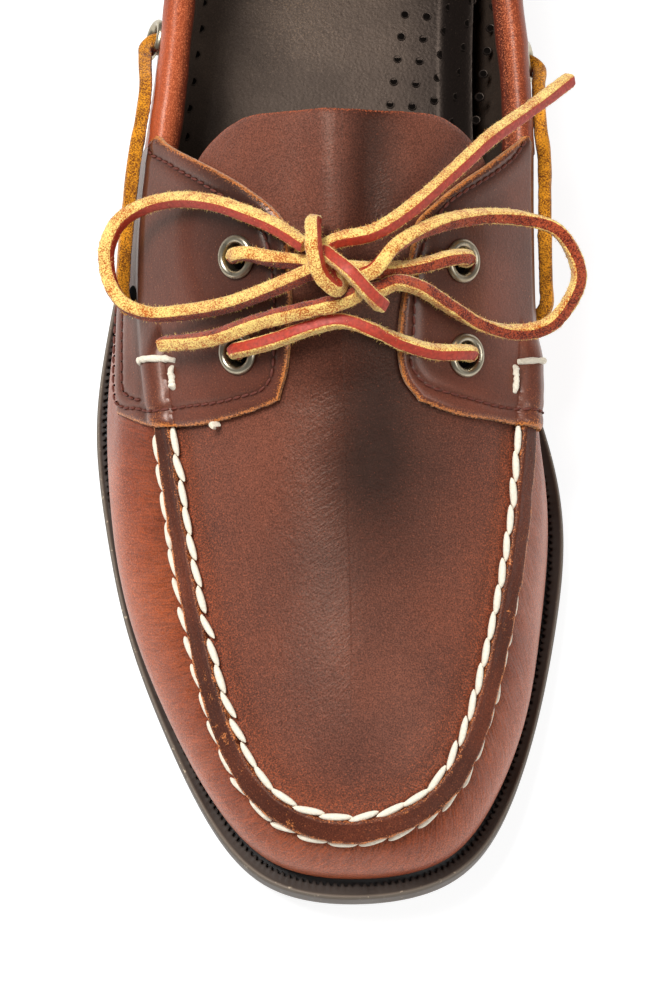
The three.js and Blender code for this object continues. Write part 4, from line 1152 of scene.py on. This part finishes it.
def sewStays():
    # one line of machine thread and, between its stitches, dark lumps painted as the shade of the needle
    # holes, for every stitch line
    for name in sideOf:
        for number, line in enumerate(stayLines[name]):
            place, t = stayPlaces(name, line, lineSteps)
            for kind, look in machineParts.items():
                points = liftedAt(place, t, stayLift(name, place, t) + look["up"])
                sewAlongLine(f"{name}Stay{kind}{number}", points, normalAt(place, t), look)


# thick hand stitches over the swell of each stay, as (row, t) points, and the nub beside the outer one
barTacks = {
    "inner": [[(6.26, 1.075), (6.31, 1.016), (6.35, 0.95)], [(6.23, 1.084), (6.08, 1.084), (5.93, 1.084)]],
    "outer": [[(6.34, 0.91), (6.37, 0.994), (6.32, 1.069), (6.27, 1.11)],
              [(6.24, 1.091), (6.1, 1.088), (5.98, 1.084)], [(5.50, 1.246), (5.51, 1.256), (5.52, 1.268)]],
}
tackLook = {"radius": 0.74, "lumps": 0.09, "wobble": 0.08, "above": 0.4, "dive": 1.2, "steps": 40,
            "sides": 12}


def sewBarTacks():
    # lumpy thread along each tack, diving into the leather at both ends
    count = tackLook["steps"]
    angle = np.linspace(0, 2 * np.pi, tackLook["sides"], endpoint=False)[None]
    dive = tackLook["dive"] * np.linspace(-1, 1, count) ** 6
    for name, tacks in barTacks.items():
        for number, tack in enumerate(tacks):
            place, t = stayPlaces(name, tack, count)
            lift = stayLift(name, place, t) + tackLook["above"] - dive
            lift = lift + noiseAlong(count, 12, tackLook["wobble"])
            line, normal = liftedAt(place, t, lift), normalAt(place, t)
            across = unit(np.cross(np.gradient(line, axis=0), normal))
            size = (tackLook["radius"] + noiseAlong(count, 14, tackLook["lumps"]))[:, None]
            points, quads = tube(line, ringPoints(line, across, normal, angle, size))
            piece = addPiece(f"{name}Tack{number}", points, quads, [handThread])


sewMoccasinSeam()
sewStays()
sewBarTacks()
print("stage: stitches sewn")

# radius and height of the eyelet's wall, from inside the barrel over the dome and back
eyeletProfile = np.array([
    [0.0, -1.5], [2.75, -1.5], [2.8, -0.6], [2.95, 0.25], [3.25, 0.85], [3.7, 1.15], [4.15, 1.15],
    [4.55, 0.9], [4.8, 0.5], [4.85, 0.15], [4.6, 0.0], [3.5, 0.0], [3.35, -0.4], [3.3, -1.6],
])


# height of each eyelet's seat above the last, and how far its axis leans upward
eyeletSeats = [(stayEyelets, 2.2, 0.0), (sideEyelets, 1.2, 0.22)]


def buildEyelet(name, spot, lift, tilt):
    # the profile turned about the axis of the hole, which leans upward by the tilt; its bottom is a disc
    # painted dark as the shade inside the barrel
    axis = unit(normalAt(*spot) + np.array([0, 0, tilt]))
    first = unit(np.cross(axis, [0, 0, 1.0]))
    angle = np.linspace(0, 2 * np.pi, 65)[:, None]
    ring = np.cos(angle) * first + np.sin(angle) * np.cross(axis, first)
    radius, height = eyeletProfile.T[:, None, :, None]
    grid = liftedAt(*spot, lift) + radius * ring[:, None] + height * axis
    grid = np.concatenate([grid, grid[:, :1]], 1)
    slots = np.tile([1] + [0] * (len(eyeletProfile) - 1), len(angle) - 1)
    eyelet = addPiece("ring_" + name, grid, gridQuads(*grid.shape[:2]), [nickel, paintedHoleShade], slots, sharp=60)
    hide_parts("eyelet_" + name)


for eyelets, seatHeight, seatTilt in eyeletSeats:
    for eyeletName, eyeletSpot in eyelets.items():
        buildEyelet(eyeletName, eyeletSpot, seatHeight, seatTilt)
print("stage: eyelets built")

laceLook = {"side": 3.0, "step": 0.7, "squareness": 6, "corners": 24, "rough": 0.05, "fuzz": 14.0}

# turn: how far the red grain face leans from the viewer, in degrees, at shares of the strand's length
laces = {
    "lace_bar_back": {
        "turn": [(0, -80), (0.25, -120), (0.5, -140), (1, -155)],
        "points": [(-19.8, -21.2, 70.9), (-20.6, -21.7, 72.5), (-20.2, -22.3, 75), (-17.8, -23, 77.2),
                   (-12, -25, 79.2), (-4, -27, 81.7), (4, -28.3, 82.2), (12, -28, 80.3), (20, -26, 77.9),
                   (26, -23.4, 75.6), (29.9, -21.8, 72.6), (30.3, -21.2, 69.8), (29.2, -20.9, 67.9)]},
    "lace_bar_front": {
        "turn": [(0, -25), (0.4, -20), (0.65, 25), (1, 32)],
        "points": [(-19.6, -40.3, 62.9), (-20.4, -40.9, 64.5), (-20, -41.5, 67), (-17.5, -41.9, 69.6),
                   (-11.5, -41.3, 72.8), (-4, -39.8, 76.4), (2.5, -38.8, 77.9), (9, -40.3, 77),
                   (16, -42.3, 73.9), (23, -43, 70.2), (28.5, -42, 67.2), (30.9, -41.2, 64.9),
                   (31, -40.6, 62.4), (30, -40.1, 60.5)]},
    "lace_knot": {
        "turn": [(0, -68), (0.4, -60), (0.62, -15), (1, -15)],
        "points": [(-2.9, -18.8, 85.5), (-3.3, -21.3, 90.2), (-3.2, -24.8, 92), (-3.1, -27.7, 92),
                   (-2.6, -30.2, 91.3), (-1.9, -32.4, 90), (-0.3, -34.1, 88.4), (1.6, -34.7, 86.2),
                   (2.6, -32.8, 83.9), (1.5, -29.4, 82.8), (-0.7, -27, 83.6), (-1.6, -26.3, 85.8),
                   (-0.3, -27.5, 88.3), (1.3, -29.4, 89.8), (3.1, -31.3, 90.8), (4.8, -33, 91.2),
                   (6.5, -34.7, 90.4), (8.2, -36.2, 89), (9.9, -37.3, 87), (11.5, -37.9, 84.5)]},
    "lace_loop_outer": {
        "turn": [(0, -45), (0.35, -50), (0.5, -75), (0.65, -112), (1, -125)],
        "points": [(-5, -24.5, 85.5), (-11.5, -19, 83), (-18.5, -14.5, 80), (-25.5, -10.5, 76),
                   (-34.5, -7, 69), (-41.5, -7, 64.5), (-46.5, -9.5, 62), (-49, -14.5, 60.5),
                   (-49, -19.5, 59.5), (-47.5, -24.5, 59.5), (-45, -28, 60), (-39.5, -30.5, 60.5),
                   (-32.5, -31, 62.5), (-22, -32, 70), (-13.5, -31.5, 77), (-6.5, -30.5, 82.5),
                   (-1.6, -29.2, 85)]},
    "lace_loop_inner": {
        "turn": [(0, -60), (0.2, -125), (0.35, -150), (0.5, -200), (0.65, -215), (0.8, -165), (1, -145)],
        "points": [(4.5, -32.5, 86), (9.5, -30, 85), (14.5, -24, 84.5), (23, -17.5, 80), (33.5, -12.5, 73),
                   (42.5, -11, 68), (50, -12.5, 65.5), (54, -18, 64), (55, -23, 63), (52.5, -29, 62),
                   (48, -33.5, 61), (41, -35, 61), (33.5, -35, 65.5), (27, -33.5, 71.5), (19.5, -31, 77.5),
                   (14.5, -31, 80.5), (10.5, -33, 81.5), (5.5, -34, 83.5)]},
    "lace_end_inner": {
        "turn": [(0, 45), (1, 42)],
        "points": [(-2, -26, 86), (1, -24, 86.6), (9.5, -22, 87), (16, -17.5, 86), (28.5, -4, 81),
                   (35, 4, 77), (42, 11.5, 72), (49, 19, 67), (54, 24.5, 63.5)]},
    "lace_end_outer": {
        "turn": [(0, -130), (1, -112)],
        "points": [(6.5, -35, 84.5), (2.5, -36, 82), (-4.5, -37, 80), (-15, -37.5, 74),
                   (-25.5, -38.5, 66.5), (-37, -36.5, 57.5)]},
    "lace_side_outer": {
        "turn": [(0, 90), (1, 75)],
        "points": [(-37.2, 41, 48), (-39.8, 41.1, 48.6), (-41.9, 38.5, 49.8), (-41.9, 35.5, 51.2),
                   (-41.7, 31.5, 53.4), (-41.4, 27, 55.6), (-41.7, 22, 56), (-42.5, 16.3, 55.7),
                   (-43.6, 9.9, 54.5), (-44.3, 4.6, 53.2), (-45, -1.8, 51.3), (-45.7, -8.3, 49),
                   (-46.2, -14.9, 46.7), (-46.4, -20.3, 44.4), (-44.6, -23.4, 42.8)]},
    "lace_side_inner": {
        "turn": [(0, -90), (1, -75)],
        "points": [(43.3, 35.9, 48.1), (45.9, 35.9, 48.2), (48, 33.5, 49), (47.7, 29, 51), (47.6, 21.5, 53),
                   (47.9, 15.5, 53.8), (48.5, 10.3, 53.4), (48.6, 0.1, 51.1), (48.7, -8.2, 47.5),
                   (49, -16.7, 43.2), (49.1, -20.9, 40.5), (47, -23.6, 38.6)]},
}


def laceLine(points):
    # the strand's route in even steps, and its length
    length = float(runAlong(smoothLine(points, 200))[-1])
    return smoothLine(points, max(int(length / laceLook["step"]), 12)), length


def laceFrame(line):
    # direction of travel, the side turned to the viewer, and the third direction across
    along = unit(np.gradient(line, axis=0))
    viewer = np.array([0, -0.309, 0.951])
    front = unit(viewer - (along @ viewer)[:, None] * along)
    return along, front, np.cross(along, front)


def buildLace(name, points, turn):
    # a rounded square, (cos^6 + sin^6)^(-1/6), carried along the line: grain, cut, flesh and cut faces
    line, length = laceLine(points)
    along, front, across = laceFrame(line)
    angle = np.radians(np.interp(np.linspace(0, 1, len(line)), *np.array(turn, float).T))
    angle = angle + noiseAlong(len(line), 6, 0.05)
    count, power = laceLook["corners"], laceLook["squareness"]
    corner = np.arange(count) - 2.5  # the grain face is the first five
    base = corner / count * 2 * np.pi
    reach = (np.abs(np.cos(base)) ** power + np.abs(np.sin(base)) ** power) ** (-1 / power)
    spin = base + angle[:, None]
    rough = random.normal(0, laceLook["rough"], spin.shape) * (np.abs(corner) > 3)
    radius = reach * laceLook["side"] / 2 + rough + noiseAlong(len(line), 20, 0.05)[:, None]
    radius[[0, -1]] *= 0.93
    skin, quads = tube(line, ringPoints(line, front, across, spin, radius))
    face = np.repeat([0, 1, 2, 1], [5, 7, 5, 7])
    slots = np.concatenate([np.full(count, 1), np.tile(face, len(line) - 1), np.full(count, 1)])
    golden = "side" in name
    materials = [goldSuede, goldSuede, fleshSuede] if golden else [laceGrain, tanSuede, fleshSuede]
    piece = addPiece(name.replace("lace_", "thong_"), skin, quads, materials, slots, sharp=50)
    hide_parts(name)
    print("lace", name, "length", round(length, 1), "mm")
    return line, along, front, across, angle


punchLook = {"radii": [2.7, 2.3, 1.2, 0.0], "ups": [-0.3, 0.12, 0.08, 0.08], "tLength": 42.0,
             "rows": (5.6, 8.5, 150), "heights": (0.45, 1.0, 150)}


def buildPunch(name, end):
    # punched hole in the stay's flap where a side lace goes in: a disc painted dark as the hole's shade, on
    # the nearest surface point
    stay = "inner" if end[0] > 0 else "outer"
    side = sideOf[stay]
    ranges = (np.linspace(*punchLook[key]) for key in ("rows", "heights"))
    rows, heights = np.meshgrid(*ranges, indexing="ij")
    away = np.linalg.norm(surfaceAt(side * rows, heights) - end, axis=-1)
    spot = np.unravel_index(away.argmin(), away.shape)
    angle = np.linspace(0, 2 * np.pi, 33)[:, None]
    radius = np.array(punchLook["radii"])
    place = side * (rows[spot] + radius * np.cos(angle) / rowLength)
    t = heights[spot] + radius * np.sin(angle) / punchLook["tLength"]
    points = liftedAt(place, t, stayLift(stay, place, t) + punchLook["ups"])
    punch = addPiece("punch_" + name, points, gridQuads(*points.shape[:2])[:, ::-side], [paintedHoleShade])


fuzzLook = {"stray": 14, "root": 0.6, "shift": 0.4, "sweep": 0.8, "tangle": 0.35, "reach": (0.15, 0.8),
            "halfWidth": 0.045}


def buildFuzz(strands):
    # loose fibres along the corners between the cut faces and the others: thin slivers
    points = []
    for line, along, front, across, angle in strands:
        count = int(len(line) * laceLook["step"] * laceLook["fuzz"])
        index = random.integers(1, len(line) - 1, count)
        corner = random.choice([45, 135, 225, 315], count) + random.normal(0, fuzzLook["stray"], count)
        spin = (np.radians(corner) + angle[index])[:, None]
        out = np.cos(spin) * front[index] + np.sin(spin) * across[index]
        shift = random.uniform(-fuzzLook["shift"], fuzzLook["shift"], (count, 1))
        root = line[index] + out * laceLook["side"] * fuzzLook["root"] + along[index] * shift
        sweep = along[index] * random.normal(0, fuzzLook["sweep"], (count, 1))
        way = unit(out + sweep + random.normal(0, fuzzLook["tangle"], (count, 3)))
        tip = root + way * random.uniform(*fuzzLook["reach"], (count, 1))
        wide = along[index] * fuzzLook["halfWidth"]
        points.append(np.stack([root - wide, root + wide, tip, tip], 1).reshape(-1, 3))
    cloud = np.concatenate(points)
    fuzz = addPiece("laceFibres", cloud, np.arange(len(cloud)).reshape(-1, 4), [tanSuede], weld=0.0001)


bowStrands = []
for laceName, lace in laces.items():
    strand = buildLace(laceName, lace["points"], lace["turn"])
    if "side" in laceName:
        buildPunch(laceName, lace["points"][-2])
    else:
        bowStrands.append(strand)
buildFuzz(bowStrands)
print("stage: lace tied")

# lamps: place, point they face, width and length, power; the stage is in metres
studioLook = {
    "sky": 0.2, "floorGlow": 0.8, "floorGrey": 0.4, "floorSize": 6.0,
    "lamps": {
        "keyLamp": ((-0.55, 0.25, 1.5), (0, -0.03, 0.03), (0.7, 0.7), 31.0),
        "fillLamp": ((0.9, -0.6, 1.2), (0, -0.05, 0.03), (0.7, 1.2), 8.5),
    },
}


def buildFloor():
    size = studioLook["floorSize"]
    mesh = bpy.data.meshes.new("floor")
    corners = [(-size, -size, 0), (size, -size, 0), (size, size, 0), (-size, size, 0)]
    mesh.from_pydata(corners, [], [(0, 1, 2, 3)])
    material = startMaterial("paleFloor", {
        "Roughness": 0.9, "Base Color": (*[studioLook["floorGrey"]] * 3, 1), "Emission Color": (1, 1, 1, 1),
        "Emission Strength": studioLook["floorGlow"], "Specular IOR Level": 0.0})[0]
    mesh.materials.append(material)
    floor = bpy.data.objects.new("floor", mesh)
    bpy.context.scene.collection.objects.link(floor)


def buildLights():
    # white sky and soft rectangular lamps
    world = bpy.data.worlds.new("studio")
    world.use_nodes = True
    sky = world.node_tree.nodes["Background"].inputs
    sky["Color"].default_value = (1, 1, 1, 1)
    sky["Strength"].default_value = studioLook["sky"]
    bpy.context.scene.world = world
    for name, (place, aim, size, power) in studioLook["lamps"].items():
        light = bpy.data.lights.new(name, "AREA")
        light.shape = "RECTANGLE"
        light.size, light.size_y = size
        light.energy = power
        lamp = bpy.data.objects.new(name, light)
        lamp.location = Vector(place)
        lamp.rotation_euler = (Vector(aim) - Vector(place)).to_track_quat("-Z", "Y").to_euler()
        bpy.context.scene.collection.objects.link(lamp)
    bpy.context.scene.view_settings.view_transform = "Standard"


buildFloor()
buildLights()
